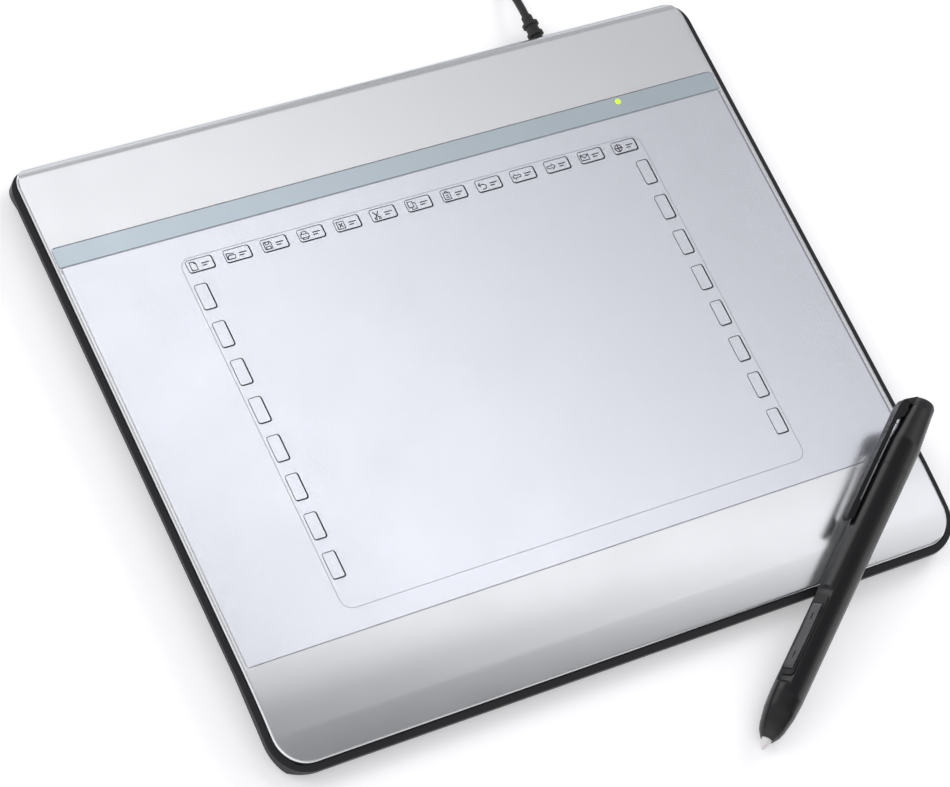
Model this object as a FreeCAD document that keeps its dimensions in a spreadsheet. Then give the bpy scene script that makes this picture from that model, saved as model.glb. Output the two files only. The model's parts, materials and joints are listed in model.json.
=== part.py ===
import FreeCAD, Part
import math
import os
import Sketcher
from FreeCAD import Placement, Rotation, Vector

# A graphics tablet with its cable and its battery pen.
#
# The frame is the row's own: X along the tablet's width, Y towards its back edge, Z up from the desk.
# The origin lies on the desk, under the middle of the box round the tablet and its pen. The tablet's
# pieces are drawn about the tablet's own middle and moved back by half of the pen's reach. The pen's
# pieces are drawn about the pen's axis, from the nib's tip, and are then laid against the front rim.

DIMENSIONS = {
    # The case, from outside to outside, in millimetres
    "case_width": 299.4,
    "case_depth": 250.4,
    "top_height": 12.0,
    "foot_height": 1.0,
    "front_corner": 15.0,
    "back_corner": 11.0,
    # The black rim that shows round the silver cover
    "rim_width": 2.5,
    "rim_front": 2.8,
    "rim_drop": 1.5,
    "rim_wall": 2.0,
    "flank_inset": 8.7,
    "flank_depth": 7.2,
    "back_wall_height": 1.0,
    # The cover's surface: palm rest in front, rolled edge behind
    "seam_ahead": 83.6,
    "palm_drop": 3.0,
    "roll_radius": 5.0,
    "cover_wall": 1.8,
    "skirt_wall": 1.6,
    "skirt_height": 4.0,
    "cover_round": 0.9,
    "cover_fit": 0.15,
    # The inside of the case
    "case_floor": 1.5,
    "pit_inset": 9.2,
    "pit_depth_inset": 7.5,
    "ledge_inset": 5.5,
    "ledge_depth_inset": 4.2,
    "ledge_height": 5.0,
    "pit_corner": 6.0,
    "rib_width": 1.6,
    "rib_pitch": 44.0,
    # The printed sheet, the clear film and the strip behind them
    "sheet_inset": 2.0,
    "sheet_thickness": 0.3,
    "overlay_thickness": 0.4,
    "sheet_fit": 0.15,
    "sheet_corner": 1.5,
    "back_panel_depth": 43.1,
    "band_depth": 7.9,
    "band_inset": 1.3,
    "band_thickness": 0.5,
    "band_gap": 0.25,
    # The indicator
    "light_x": 100.5,
    "light_behind": 5.8,
    "pipe_diameter": 2.4,
    "pipe_collar": 3.8,
    "pipe_fit": 0.05,
    "led_size": 1.6,
    "led_height": 1.0,
    # The boards and what is on them
    "sensor_width": 224.0,
    "sensor_front": 81.0,
    "sensor_back_gap": 4.1,
    "board_thickness": 1.6,
    "film_thickness": 0.3,
    "shield_thickness": 0.5,
    "shield_margin": 8.0,
    "main_board_x": 38.0,
    "main_board_width": 74.0,
    "main_board_behind": 3.4,
    "main_board_depth": 27.0,
    "main_board_thickness": 1.2,
    "post_height": 0.5,
    "post_diameter": 5.0,
    "board_screw_diameter": 2.0,
    "board_screw_head": 3.8,
    "board_screw_head_height": 1.3,
    "board_screw_inset": 3.5,
    "board_screw_floor": 0.7,
    "chip_width": 9.0,
    "chip_height": 1.4,
    "crystal_length": 11.0,
    "crystal_width": 4.6,
    "crystal_height": 3.5,
    "ribbon_width": 16.0,
    "ribbon_thickness": 0.3,
    "socket_depth": 4.0,
    "socket_height": 1.6,
    "ribbon_x": 52.0,
    # Screws and feet
    "screw_x": 131.0,
    "screw_row": 70.0,
    "boss_diameter": 8.0,
    "boss_height": 3.8,
    "boss_step": 0.6,
    "counterbore_diameter": 6.2,
    "counterbore_depth": 2.0,
    "screw_diameter": 2.8,
    "screw_head_diameter": 5.4,
    "screw_head_height": 1.6,
    "screw_length": 5.6,
    "screw_fit": 0.15,
    "thread_fit": 0.05,
    "foot_diameter": 12.0,
    "foot_recess": 0.6,
    "foot_x": 122.0,
    "foot_y": 98.0,
    "foot_fit": 0.2,
    # The cable's outlet and strain relief
    "cable_x": 85.0,
    "cable_diameter": 3.2,
    "relief_neck": 4.4,
    "relief_flange": 6.6,
    "relief_waist": 5.2,
    "relief_gap": 1.9,
    "relief_flange_width": 1.4,
    "relief_waist_length": 3.2,
    "relief_tail": 3.2,
    "anchor_diameter": 5.8,
    "anchor_thickness": 2.0,
    "outlet_fit": 0.1,
    "lead_diameter": 0.9,
    "lead_pitch": 1.3,
    "header_width": 7.6,
    "header_depth": 5.0,
    "header_height": 2.6,
    # The coil of cable put away behind the tablet, and the plug
    "coil_middle_radius": 36.0,
    "coil_pitch": 3.7,
    "coil_behind": 88.0,
    "tie_width": 5.0,
    "tie_thickness": 1.0,
    "tie_fit": 0.35,
    "plug_width": 15.6,
    "plug_height": 7.8,
    "plug_length": 24.0,
    "plug_round": 1.6,
    "plug_x": 113.0,
    "plug_behind": 118.5,
    "shell_width": 12.0,
    "shell_height": 4.5,
    "shell_length": 12.0,
    "shell_wall": 0.3,
    "tongue_height": 1.84,
    "contact_width": 1.0,
    "contact_pitch": 2.5,
    "contact_thickness": 0.15,
    # The pen: its place on the desk and its outline
    "pen_reach": 47.6,
    "pen_x": 30.95,
    "pen_heading": 39.7,
    "pen_roll": 130.0,
    "pen_rim_gap": 0.3,
    "pen_desk_gap": 0.1,
    "pen_length": 156.2,
    "barrel_radius": 6.5,
    "nose_seam": 22.5,
    "cap_seam": 124.4,
    "nose_shoulder": 9.4,
    "nose_shoulder_radius": 5.0,
    "nose_mouth": 4.4,
    "nose_mouth_radius": 2.55,
    "nose_swell": 0.4,
    "nose_long_swell": 0.38,
    # The nib and what is behind it
    "nib_ball": 0.8,
    "nib_base_radius": 2.1,
    "nib_shaft_radius": 1.2,
    "nib_shaft_end": 21.0,
    "nib_travel": 1.0,
    "nib_fit": 0.15,
    "holder_radius": 2.5,
    "holder_length": 4.0,
    "ferrite_start": 10.0,
    "ferrite_length": 9.2,
    "ferrite_radius": 2.2,
    "coil_wall": 1.0,
    "nose_bore": 3.6,
    "nose_bore_start": 9.4,
    "spigot_length": 4.0,
    "spigot_fit": 0.1,
    # Inside the barrel
    "lower_bore": 4.3,
    "upper_bore": 5.4,
    "bore_step": 72.0,
    "pen_board_start": 27.9,
    "pen_board_end": 69.5,
    "pen_board_width": 7.8,
    "pen_board_thickness": 1.0,
    "battery_radius": 5.2,
    "battery_start": 75.6,
    "battery_length": 44.0,
    "battery_nub_radius": 1.9,
    "battery_nub_height": 0.8,
    "spring_plate": 0.4,
    # The side switch
    "recess_depth": 0.9,
    "recess_start": 25.1,
    "recess_end": 69.0,
    "recess_run": 2.4,
    "rocker_middle": 46.1,
    "rocker_length": 28.4,
    "rocker_width": 4.0,
    "rocker_proud": 0.35,
    "rocker_dish": 0.4,
    "rocker_depth": 2.4,
    "rocker_gap": 0.3,
    "rocker_pin": 0.55,
    "rocker_pin_fit": 0.1,
    "bezel_thickness": 0.5,
    "bezel_width": 6.0,
    "bezel_end_gap": 1.6,
    "switch_apart": 13.0,
    "switch_size": 3.4,
    "switch_height": 1.6,
    "plunger_radius": 0.9,
    "plunger_height": 0.6,
    "nub_gap": 0.3,
    # The cap and the clip
    "cap_gap": 0.15,
    "cap_turn": -28.0,
    "cap_straight": 11.6,
    "cap_top_radius": 5.1,
    "cap_bore": 4.6,
    "cap_spigot_radius": 5.3,
    "cap_spigot_length": 3.6,
    "crown_length": 3.9,
    "crown_spigot": 3.0,
    "crown_spigot_radius": 3.3,
    "crown_edge_radius": 4.95,
    "crown_edge_drop": 1.1,
    "crown_face_radius": 4.4,
    "crown_shoulder": 8.5,
    "contact_radius": 4.5,
    "contact_plate": 0.4,
    "clip_width": 4.35,
    "clip_length": 55.3,
    "clip_root_below": 1.7,
    "clip_root_length": 4.6,
    "clip_inner": 7.8,
    "clip_outer": 9.6,
    "clip_root_inner": 4.2,
    "clip_root_outer": 5.9,
    "clip_gusset": 3.0,
    "clip_crown_gap": 0.4,
    "clip_bead_gap": 0.35,
    "clip_bead_length": 7.0,
    "clip_fit": 0.4,
    "clip_chamfer": 3.4,
    "clip_groove": 0.7,
    "clip_groove_depth": 0.35,
}


class Size:
    """A length that knows the expression it comes from, so that sketches can be bound to it."""

    def __init__(self, value, text):
        self.value = float(value)
        self.text = text

    def __add__(self, other):
        other = size(other)
        return Size(self.value + other.value, f"({self.text} + {other.text})")

    def __sub__(self, other):
        other = size(other)
        return Size(self.value - other.value, f"({self.text} - {other.text})")

    def __mul__(self, other):
        other = size(other)
        return Size(self.value * other.value, f"({self.text} * {other.text})")

    def __truediv__(self, other):
        other = size(other)
        return Size(self.value / other.value, f"({self.text} / {other.text})")

    def __radd__(self, other):
        return size(other) + self

    def __rsub__(self, other):
        return size(other) - self

    def __rmul__(self, other):
        return size(other) * self

    def __neg__(self):
        return Size(-self.value, f"(0 - {self.text})")


def size(number):
    """Return a plain number as a Size, and a Size as it is."""
    if isinstance(number, Size):
        return number
    return Size(number, f"{float(number):.6f}")


def root(number):
    """Return the square root of a Size."""
    number = size(number)
    return Size(math.sqrt(number.value), f"sqrt({number.text})")


class Sheet:
    """The spreadsheet of driving dimensions; each alias reads as an attribute that gives a Size."""

    def __init__(self, document, dimensions):
        self.cells = document.addObject("Spreadsheet::Sheet", "Sheet")
        for row, (alias, value) in enumerate(dimensions.items(), start=1):
            self.cells.set(f"A{row}", alias)
            self.cells.set(f"B{row}", str(value))
            self.cells.setAlias(f"B{row}", alias)
        document.recompute()

    def __getattr__(self, alias):
        return Size(getattr(self.cells, alias), f"Sheet.{alias}")


doc = FreeCAD.newDocument("graphics_tablet")
d = Sheet(doc, DIMENSIONS)
NODES = []


def bind(target, prop, amount):
    """Set a property to a Size, by expression where the Size comes from the sheet."""
    amount = size(amount)
    if "Sheet." in amount.text:
        target.setExpression(prop, amount.text)
    else:
        target.setExpression(prop, f"{amount.value:.6f}")


def bind_place(target, x=0, y=0, z=0):
    """Bind where an object stands."""
    bind(target, "Placement.Base.x", x)
    bind(target, "Placement.Base.y", y)
    bind(target, "Placement.Base.z", z)


def block(name, x, y, z):
    """A Part::Box between pairs of Sizes on each axis."""
    box = doc.addObject("Part::Box", name)
    bind(box, "Length", size(x[1]) - x[0])
    bind(box, "Width", size(y[1]) - y[0])
    bind(box, "Height", size(z[1]) - z[0])
    bind_place(box, x[0], y[0], z[0])
    return box


STUD_SIDES = 12
TURN = {
    "Z": Rotation(),
    "Y": Rotation(Vector(1, 0, 0), -90),
    "X": Rotation(Vector(0, 1, 0), 90),
}


def rod(name, radius, length, start, along="Z"):
    """A Part::Cylinder from a start point, along the named axis."""
    cylinder = doc.addObject("Part::Cylinder", name)
    cylinder.Placement = Placement(Vector(), TURN[along])
    bind(cylinder, "Radius", radius)
    bind(cylinder, "Height", length)
    bind_place(cylinder, *start)
    return cylinder


def stud(name, radius, length, start):
    """A twelve-sided post or hole along Z, for the round shapes that repeat out of sight."""
    post = doc.addObject("Part::Prism", name)
    post.Polygon = STUD_SIDES
    bind(post, "Circumradius", radius)
    bind(post, "Height", length)
    bind_place(post, *start)
    return post


def fuse(name, *shapes):
    """A Part::MultiFuse of the given objects."""
    result = doc.addObject("Part::MultiFuse", name)
    result.Shapes = list(shapes)
    return result


def cut(name, base, *tools):
    """A Part::Cut of the base by one tool, or by several fused ones."""
    result = doc.addObject("Part::Cut", name)
    result.Base = base
    result.Tool = tools[0] if len(tools) == 1 else fuse(f"{name}_tools", *tools)
    return result


def common(name, *shapes):
    """A Part::MultiCommon of the given objects."""
    result = doc.addObject("Part::MultiCommon", name)
    result.Shapes = list(shapes)
    return result


def group(name, items):
    """A Part::Compound of separate solids that share one node."""
    result = doc.addObject("Part::Compound", name)
    result.Links = list(items)
    return result


def plane_of(body, role):
    """Return a body's own origin plane."""
    return [feature for feature in body.Origin.OriginFeatures if feature.Role == role][0]


def sketch(owner, name, role="XY_Plane", offset=0):
    """A sketch on an origin plane: of its body, or a free one turned the same way."""
    if owner is None:
        drawing = doc.addObject("Sketcher::SketchObject", name)
        turns = {"XY_Plane": Rotation(), "XZ_Plane": Rotation(Vector(1, 0, 0), 90),
                 "YZ_Plane": Rotation(Vector(1, 1, 1), 120)}
        drawing.Placement = Placement(Vector(), turns[role])
        return drawing
    drawing = owner.newObject("Sketcher::SketchObject", name)
    drawing.AttachmentSupport = (plane_of(owner, role), [""])
    drawing.MapMode = "FlatFace"
    bind(drawing, "AttachmentOffset.Base.z", offset)
    return drawing


def pin_point(drawing, geometry, end, point):
    """Bind one end of a sketch's line or arc to a pair of Sizes."""
    for kind, amount in (("DistanceX", size(point[0])), ("DistanceY", size(point[1]))):
        index = drawing.addConstraint(Sketcher.Constraint(kind, -1, 1, geometry, end, amount.value))
        bind(drawing, f"Constraints[{index}]", amount)


def arc_middle(start, end, radius, side):
    """Return the middle point of an arc between two points; side is 1 for left of the way, -1 for right."""
    chord = end - start
    half = chord.Length / 2
    sagitta = radius - math.sqrt(max(radius * radius - half * half, 0.0))
    normal = Vector(-chord.y, chord.x, 0).normalize()
    return (start + end) * 0.5 + normal * (side * sagitta)


def outline(drawing, points, arcs=None):
    """Draw a closed outline; arcs maps the index of a stretch to its radius and bulging side."""
    arcs = arcs or {}
    spots = [Vector(size(x).value, size(y).value, 0) for x, y in points]
    count = len(spots)
    first = drawing.GeometryCount
    for index in range(count):
        start, end = spots[index], spots[(index + 1) % count]
        if index in arcs:
            radius, side = arcs[index]
            middle = arc_middle(start, end, size(radius).value, side)
            ends = (start, end) if side < 0 else (end, start)
            drawing.addGeometry(Part.Arc(ends[0], middle, ends[1]), False)
        else:
            drawing.addGeometry(Part.LineSegment(start, end), False)
    ends = [(2, 1) if index in arcs and arcs[index][1] > 0 else (1, 2) for index in range(count)]
    for index in range(count):
        after = (index + 1) % count
        drawing.addConstraint(
            Sketcher.Constraint("Coincident", first + index, ends[index][1], first + after, ends[after][0]))
    for index in range(count):
        pin_point(drawing, first + index, ends[index][0], points[index])
    for index, (radius, _) in arcs.items():
        number = drawing.addConstraint(Sketcher.Constraint("Radius", first + index, size(radius).value))
        bind(drawing, f"Constraints[{number}]", radius)


def swell(start, end, bulge, steps):
    """Return the points of a shallow curve from start to end, swelling sideways by bulge in the middle."""
    points = []
    for index in range(steps + 1):
        share = index / steps
        points.append((size(start[0]) + (size(end[0]) - start[0]) * share + bulge * (4 * share * (1 - share)),
                       size(start[1]) + (size(end[1]) - start[1]) * share))
    return points


def ring(drawing, x, y, radius):
    """Draw a circle."""
    x, y, radius = size(x), size(y), size(radius)
    circle = Part.Circle(Vector(x.value, y.value, 0), Vector(0, 0, 1), radius.value)
    index = drawing.addGeometry(circle, False)
    pin_point(drawing, index, 3, (x, y))
    number = drawing.addConstraint(Sketcher.Constraint("Radius", index, radius.value))
    bind(drawing, f"Constraints[{number}]", radius)


def round_plate(drawing, x, y, near, far):
    """Draw a rectangle whose near corners and far corners are rounded by two radii."""
    x0, x1 = size(x[0]), size(x[1])
    y0, y1 = size(y[0]), size(y[1])
    points = [(x0 + near, y0), (x1 - near, y0), (x1, y0 + near), (x1, y1 - far),
              (x1 - far, y1), (x0 + far, y1), (x0, y1 - far), (x0, y0 + near)]
    outline(drawing, points, {1: (near, -1), 3: (far, -1), 5: (far, -1), 7: (near, -1)})


def new_body(name):
    """A PartDesign body."""
    return doc.addObject("PartDesign::Body", name)


def pad(body, drawing, length, symmetric=False, backwards=False):
    """Pad a sketch."""
    feature = body.newObject("PartDesign::Pad", f"{drawing.Name}_pad")
    feature.Profile = drawing
    feature.SideType = "Symmetric" if symmetric else "One side"
    feature.Reversed = backwards
    bind(feature, "Length", length)
    return feature


def pocket(body, drawing, length, symmetric=True, backwards=False):
    """Cut a sketch out of its body."""
    feature = body.newObject("PartDesign::Pocket", f"{drawing.Name}_pocket")
    feature.Profile = drawing
    feature.SideType = "Symmetric" if symmetric else "One side"
    feature.Reversed = backwards
    bind(feature, "Length", length)
    return feature


def turn(body, drawing):
    """Revolve a sketch about its upright axis."""
    feature = body.newObject("PartDesign::Revolution", f"{drawing.Name}_turn")
    feature.Profile = drawing
    feature.ReferenceAxis = (drawing, ["V_Axis"])
    feature.Angle = 360
    return feature


def prism(name, role, height, points=None, arcs=None, plate=None, start=0):
    """Extrude a free sketch both ways from its plane, or upwards from a start height."""
    drawing = sketch(None, f"{name}_sketch", role)
    if plate:
        round_plate(drawing, *plate)
        bind(drawing, "Placement.Base.z", start)
    else:
        outline(drawing, points, arcs)
    solid = doc.addObject("Part::Extrusion", name)
    solid.Base = drawing
    solid.DirMode = "Normal"
    solid.Solid = True
    solid.Symmetric = plate is None
    bind(solid, "LengthFwd", height)
    return solid


def node(name, item):
    """Record an object as a sub-part under its own label."""
    item.Label = name
    NODES.append((name, item))
    return item


def on_tablet(name, item):
    """Record a piece of the tablet, moved to where the tablet lies."""
    if item.TypeId == "Part::Box":
        item = group(name, [item])
    bind(item, "Placement.Base.y", d.pen_reach / 2)
    return node(name, item)


# Heights and edges that several pieces share
half_width = d.case_width / 2
half_depth = d.case_depth / 2
cover_half = half_width - d.rim_width
cover_front = half_depth - d.rim_front
fold_behind = half_depth - d.back_panel_depth
light_y = fold_behind + d.light_behind
sensor_back = fold_behind - d.sensor_back_gap
main_board_y = fold_behind + d.main_board_behind
roof = d.top_height - d.cover_wall
floor_top = d.foot_height + d.case_floor
parting = d.top_height - d.rim_drop - d.roll_radius
cable_height = parting
beyond = 12
palm_run = cover_front - d.seam_ahead
palm_radius = (palm_run * palm_run + d.palm_drop * d.palm_drop) / (2 * d.palm_drop)


def palm_fall(ahead):
    """Return how far the palm rest has dropped at a distance in front of the middle."""
    run = size(ahead) - d.seam_ahead
    return palm_radius - root(palm_radius * palm_radius - run * run)


def surface_points(drop, back, back_radius, end_height):
    """Return the upper line of the tablet's side view, lowered by drop, from front to back."""
    front = half_depth + beyond
    top = d.top_height - drop
    return [(-front, top - palm_fall(front)), (-d.seam_ahead, top),
            (half_depth - d.roll_radius, top), (back, top - back_radius), (back, end_height)]


def sheet_corner_plate(inset, front, back, corner):
    """Return the plan of a sheet in the cover's recess."""
    side = cover_half - inset
    return (-side, side), (-front, back), corner, corner


# The cover
def make_cover_block(name, fit, bottom_drop, lift, edge_round=None):
    """The cover's outer form: its plan under its side view, with no hollow.

    Its edges are rounded first, if asked, and the back is rolled over afterwards.
    """
    plan = prism(f"{name}_plan", "XY_Plane", d.top_height + beyond + lift,
                 plate=((-(cover_half + fit), cover_half + fit), (-(cover_front + fit), half_depth),
                        d.front_corner - d.rim_width + fit, d.back_corner - d.rim_width + fit))
    top = surface_points(-lift, half_depth, d.roll_radius, parting)
    front = half_depth + beyond
    skirt = d.top_height - bottom_drop
    lip = half_depth - 4
    points = top + [(lip, parting), (lip, skirt), (-d.seam_ahead, skirt), (-front, skirt - palm_fall(front))]
    arcs = {0: (palm_radius, 1), 2: (d.roll_radius, 1), 7: (palm_radius, -1)}
    side = prism(f"{name}_side", "YZ_Plane", d.case_width + beyond, points, arcs)
    if edge_round is not None:
        slab = prism(f"{name}_slab", "YZ_Plane", d.case_width + beyond,
                     top[:2] + [(front, d.top_height), (front, size(0)), (-front, size(0))], {0: (palm_radius, 1)})
        plan = soften(f"{name}_rounded", common(f"{name}_blank", plan, slab), edge_round, rim_edges)
    return common(name, plan, side)


def rim_edges(shape):
    """Return the numbers of the edges where the upper surface meets the upright sides."""
    chosen = []
    for number, edge in enumerate(shape.Edges, start=1):
        faces = shape.ancestorsOfType(edge, Part.Face)
        if len(faces) != 2:
            continue
        middle = edge.valueAt((edge.FirstParameter + edge.LastParameter) / 2)
        tilt = []
        for face in faces:
            u, v = face.Surface.parameter(middle)
            tilt.append(face.normalAt(u, v).z)
        if max(tilt) > 0.25 and abs(min(tilt, key=abs)) < 0.02:
            chosen.append(number)
    return chosen


def soften(name, base, radius, pick):
    """Round the picked edges of an object with a Part::Fillet."""
    doc.recompute()
    feature = doc.addObject("Part::Fillet", name)
    feature.Base = base
    amount = size(radius).value
    feature.Edges = [(number, amount, amount) for number in pick(base.Shape)]
    return feature


def screw_places():
    """Yield the four screw places in the case's underside."""
    for side in (-1, 1):
        for row in (-1, 1):
            yield side * d.screw_x, row * d.screw_row


def outlet(name):
    """The hole for the neck of the cable's strain relief, centred on the parting."""
    return rod(name, d.relief_neck / 2 + d.outlet_fit, d.pit_depth_inset + 2,
               (d.cable_x, half_depth - d.pit_depth_inset - 1, cable_height), "Y")


def make_top_cover():
    """The silver shell with its recesses, screw bosses and openings."""
    solid = make_cover_block("cover_block", 0, d.skirt_height, 0, d.cover_round)
    inner_front = half_depth + beyond
    inner = surface_points(d.cover_wall, half_depth - d.cover_wall, d.roll_radius - d.cover_wall, 0)
    inner_arcs = {0: (palm_radius, 1), 2: (d.roll_radius - d.cover_wall, 1)}
    hollow_side = prism("cover_hollow_side", "YZ_Plane", d.case_width + beyond,
                        inner + [(-inner_front, size(0))], inner_arcs)
    side = cover_half - d.skirt_wall
    hollow_plan = prism("cover_hollow_plan", "XY_Plane", d.top_height + beyond,
                        plate=((-side, side), (-(cover_front - d.skirt_wall), half_depth),
                               d.front_corner - d.rim_width - d.skirt_wall,
                               d.back_corner - d.rim_width - d.skirt_wall))
    hollow = common("cover_hollow", hollow_plan, hollow_side)
    shell = cut("cover_shell", solid, hollow)
    bosses = []
    pilots = []
    boss_base = d.foot_height + d.boss_height
    for index, (x, y) in enumerate(screw_places()):
        bosses.append(stud(f"cover_boss_{index}", d.boss_diameter / 2 - d.boss_step, roof - boss_base,
                           (x, y, boss_base)))
        pilots.append(stud(f"cover_pilot_{index}", d.screw_diameter / 2 + d.thread_fit, d.screw_length,
                           (x, y, boss_base - 1)))
    full = fuse("cover_with_bosses", shell, *bosses)
    sheets = d.sheet_thickness + d.overlay_thickness
    recess = prism("sheet_recess", "XY_Plane", d.top_height,
                   plate=sheet_corner_plate(d.sheet_inset - d.sheet_fit, d.seam_ahead, fold_behind, d.sheet_corner),
                   start=d.top_height - sheets)
    band = prism("band_recess", "XY_Plane", d.top_height,
                 plate=sheet_corner_plate(d.band_inset, -fold_behind + 3, fold_behind + d.band_depth + d.band_gap,
                                          d.sheet_corner),
                 start=d.top_height - d.band_thickness)
    pipe = rod("pipe_hole", d.pipe_diameter / 2 + d.pipe_fit, d.top_height, (d.light_x, light_y, d.foot_height))
    tools = [recess, band, pipe, outlet("cover_outlet")] + pilots
    on_tablet("top_cover", cut("top_cover", full, *tools))


def make_bottom_case():
    """The black dish: flanks, rim, ledge, pit, bosses, ribs and outlets."""
    edge_flat = d.top_height - d.rim_drop - d.rim_wall
    edge_front = edge_flat - palm_fall(half_depth)
    edge_back = parting - d.back_wall_height
    sections = []
    stations = ((-half_depth - 1, edge_front), (-d.seam_ahead, edge_flat),
                (half_depth - 3 * d.roll_radius, edge_flat), (half_depth + 1, edge_back))
    for index, (y, edge) in enumerate(stations):
        drawing = sketch(None, f"case_section_{index}", "XZ_Plane")
        bottom = half_width - d.flank_inset
        outline(drawing, [(-bottom, d.foot_height), (bottom, d.foot_height), (half_width, edge),
                          (half_width, d.top_height), (-half_width, d.top_height), (-half_width, edge)])
        bind(drawing, "Placement.Base.y", y)
        sections.append(drawing)
    hull = doc.addObject("Part::Loft", "case_hull")
    hull.Sections = sections
    hull.Solid = True
    hull.Ruled = True
    plan = prism("case_plan", "XY_Plane", d.top_height + beyond,
                 plate=((-half_width, half_width), (-half_depth, half_depth), d.front_corner, d.back_corner))
    top = surface_points(d.rim_drop, half_depth, d.roll_radius, edge_back)
    front = half_depth + beyond
    points = top + [(half_depth - d.flank_depth, d.foot_height), (-(half_depth - d.flank_depth), d.foot_height),
                    (-half_depth, edge_front), (-front, edge_front)]
    side = prism("case_side", "YZ_Plane", d.case_width + beyond, points,
                 {0: (palm_radius, 1), 2: (d.roll_radius, 1)})
    body = common("case_form", hull, plan, side)
    seat = make_cover_block("case_seat", d.cover_fit, d.skirt_height, size(beyond))
    ledge_side = half_width - d.ledge_inset
    ledge_end = half_depth - d.ledge_depth_inset
    ledge = prism("case_ledge", "XY_Plane", d.top_height,
                  plate=((-ledge_side, ledge_side), (-ledge_end - 1, ledge_end), d.pit_corner, d.pit_corner),
                  start=d.ledge_height)
    pit_side = half_width - d.pit_inset
    pit_end = half_depth - d.pit_depth_inset
    pit = prism("case_pit", "XY_Plane", d.top_height,
                plate=((-pit_side, pit_side), (-pit_end, pit_end), d.pit_corner, d.pit_corner), start=floor_top)
    dish = cut("case_dish", body, seat, ledge, pit)
    standing = []
    holes = []
    for index, (x, y) in enumerate(screw_places()):
        standing.append(stud(f"case_boss_{index}", d.boss_diameter / 2, d.boss_height, (x, y, d.foot_height)))
        holes.append(stud(f"case_counterbore_{index}", d.counterbore_diameter / 2, d.counterbore_depth,
                          (x, y, d.foot_height)))
        holes.append(stud(f"case_screw_hole_{index}", d.screw_diameter / 2 + d.screw_fit, d.top_height,
                          (x, y, d.foot_height)))
    shield_under = roof - d.board_thickness - d.film_thickness - d.shield_thickness
    for index in (-1, 0, 1):
        y = index * d.rib_pitch
        standing.append(block(f"case_rib_{index + 1}", (-d.sensor_width / 2 + d.shield_margin,
                                                        d.sensor_width / 2 - d.shield_margin),
                              (y - d.rib_width / 2, y + d.rib_width / 2), (floor_top - 0.5, shield_under)))
    for index, (x, y) in enumerate(board_posts()):
        standing.append(stud(f"case_post_{index}", d.post_diameter / 2, d.post_height + 0.5,
                             (x, y, floor_top - 0.5)))
        holes.append(stud(f"case_post_hole_{index}", d.board_screw_diameter / 2 + d.thread_fit, d.case_floor + 1,
                          (x, y, d.foot_height + d.board_screw_floor - 0.2)))
    for index, (x, y) in enumerate(foot_places()):
        holes.append(rod(f"case_foot_recess_{index}", d.foot_diameter / 2 + d.foot_fit, d.foot_recess,
                         (x, y, d.foot_height)))
    full = fuse("case_standing", dish, *standing)
    holes.append(outlet("case_outlet"))
    on_tablet("bottom_case", cut("bottom_case", full, *holes))


def board_posts():
    """Yield the three posts that carry the controller board."""
    inset = d.board_screw_inset
    left = d.main_board_x + inset
    right = d.main_board_x + d.main_board_width - inset
    near = main_board_y + inset
    far = main_board_y + d.main_board_depth - inset
    yield left, near
    yield left, far
    yield right, far


def foot_places():
    """Yield the four feet: front left, front right, back left, back right."""
    for y in (-d.foot_y, d.foot_y):
        for x in (-d.foot_x, d.foot_x):
            yield x, y


def make_sheets():
    """The blue-grey strip, the printed sheet and the clear film."""
    band = new_body("status_band")
    drawing = sketch(band, "band_sketch", offset=d.top_height - d.band_thickness)
    side = cover_half - d.band_inset - d.sheet_fit
    round_plate(drawing, (-side, side), (fold_behind, fold_behind + d.band_depth), d.sheet_fit, d.sheet_corner)
    ring(drawing, d.light_x, light_y, d.pipe_diameter / 2 + d.pipe_fit)
    pad(band, drawing, d.band_thickness)
    on_tablet("status_band", band)
    base = d.top_height - d.sheet_thickness - d.overlay_thickness
    for name, start, thick, inset in (
            ("work_sheet", base, d.sheet_thickness, d.sheet_inset + d.sheet_fit / 2),
            ("overlay_sheet", base + d.sheet_thickness, d.overlay_thickness, d.sheet_inset)):
        sheet_body = new_body(name)
        drawing = sketch(sheet_body, f"{name}_sketch", offset=start)
        round_plate(drawing, *sheet_corner_plate(inset, d.seam_ahead - d.sheet_fit, fold_behind - 0.1,
                                                 d.sheet_corner))
        pad(sheet_body, drawing, thick)
        on_tablet(name, sheet_body)


def make_sensor_stack():
    """The grid board against the cover's roof, with its film and shield."""
    half = d.sensor_width / 2
    board_under = roof - d.board_thickness
    on_tablet("sensor_board", block("sensor_board", (-half, half), (-d.sensor_front, sensor_back),
                                    (board_under, roof)))
    near = -(d.sensor_front - d.shield_margin / 2)
    far = sensor_back - d.shield_margin
    film_under = board_under - d.film_thickness
    on_tablet("insulating_film", block("insulating_film", (-half + 2, half - 2), (near - 1, far + 1),
                                       (film_under, board_under)))
    on_tablet("shield_plate", block("shield_plate", (-half + d.shield_margin / 2, half - d.shield_margin / 2),
                                    (near, far), (film_under - d.shield_thickness, film_under)))


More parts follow.
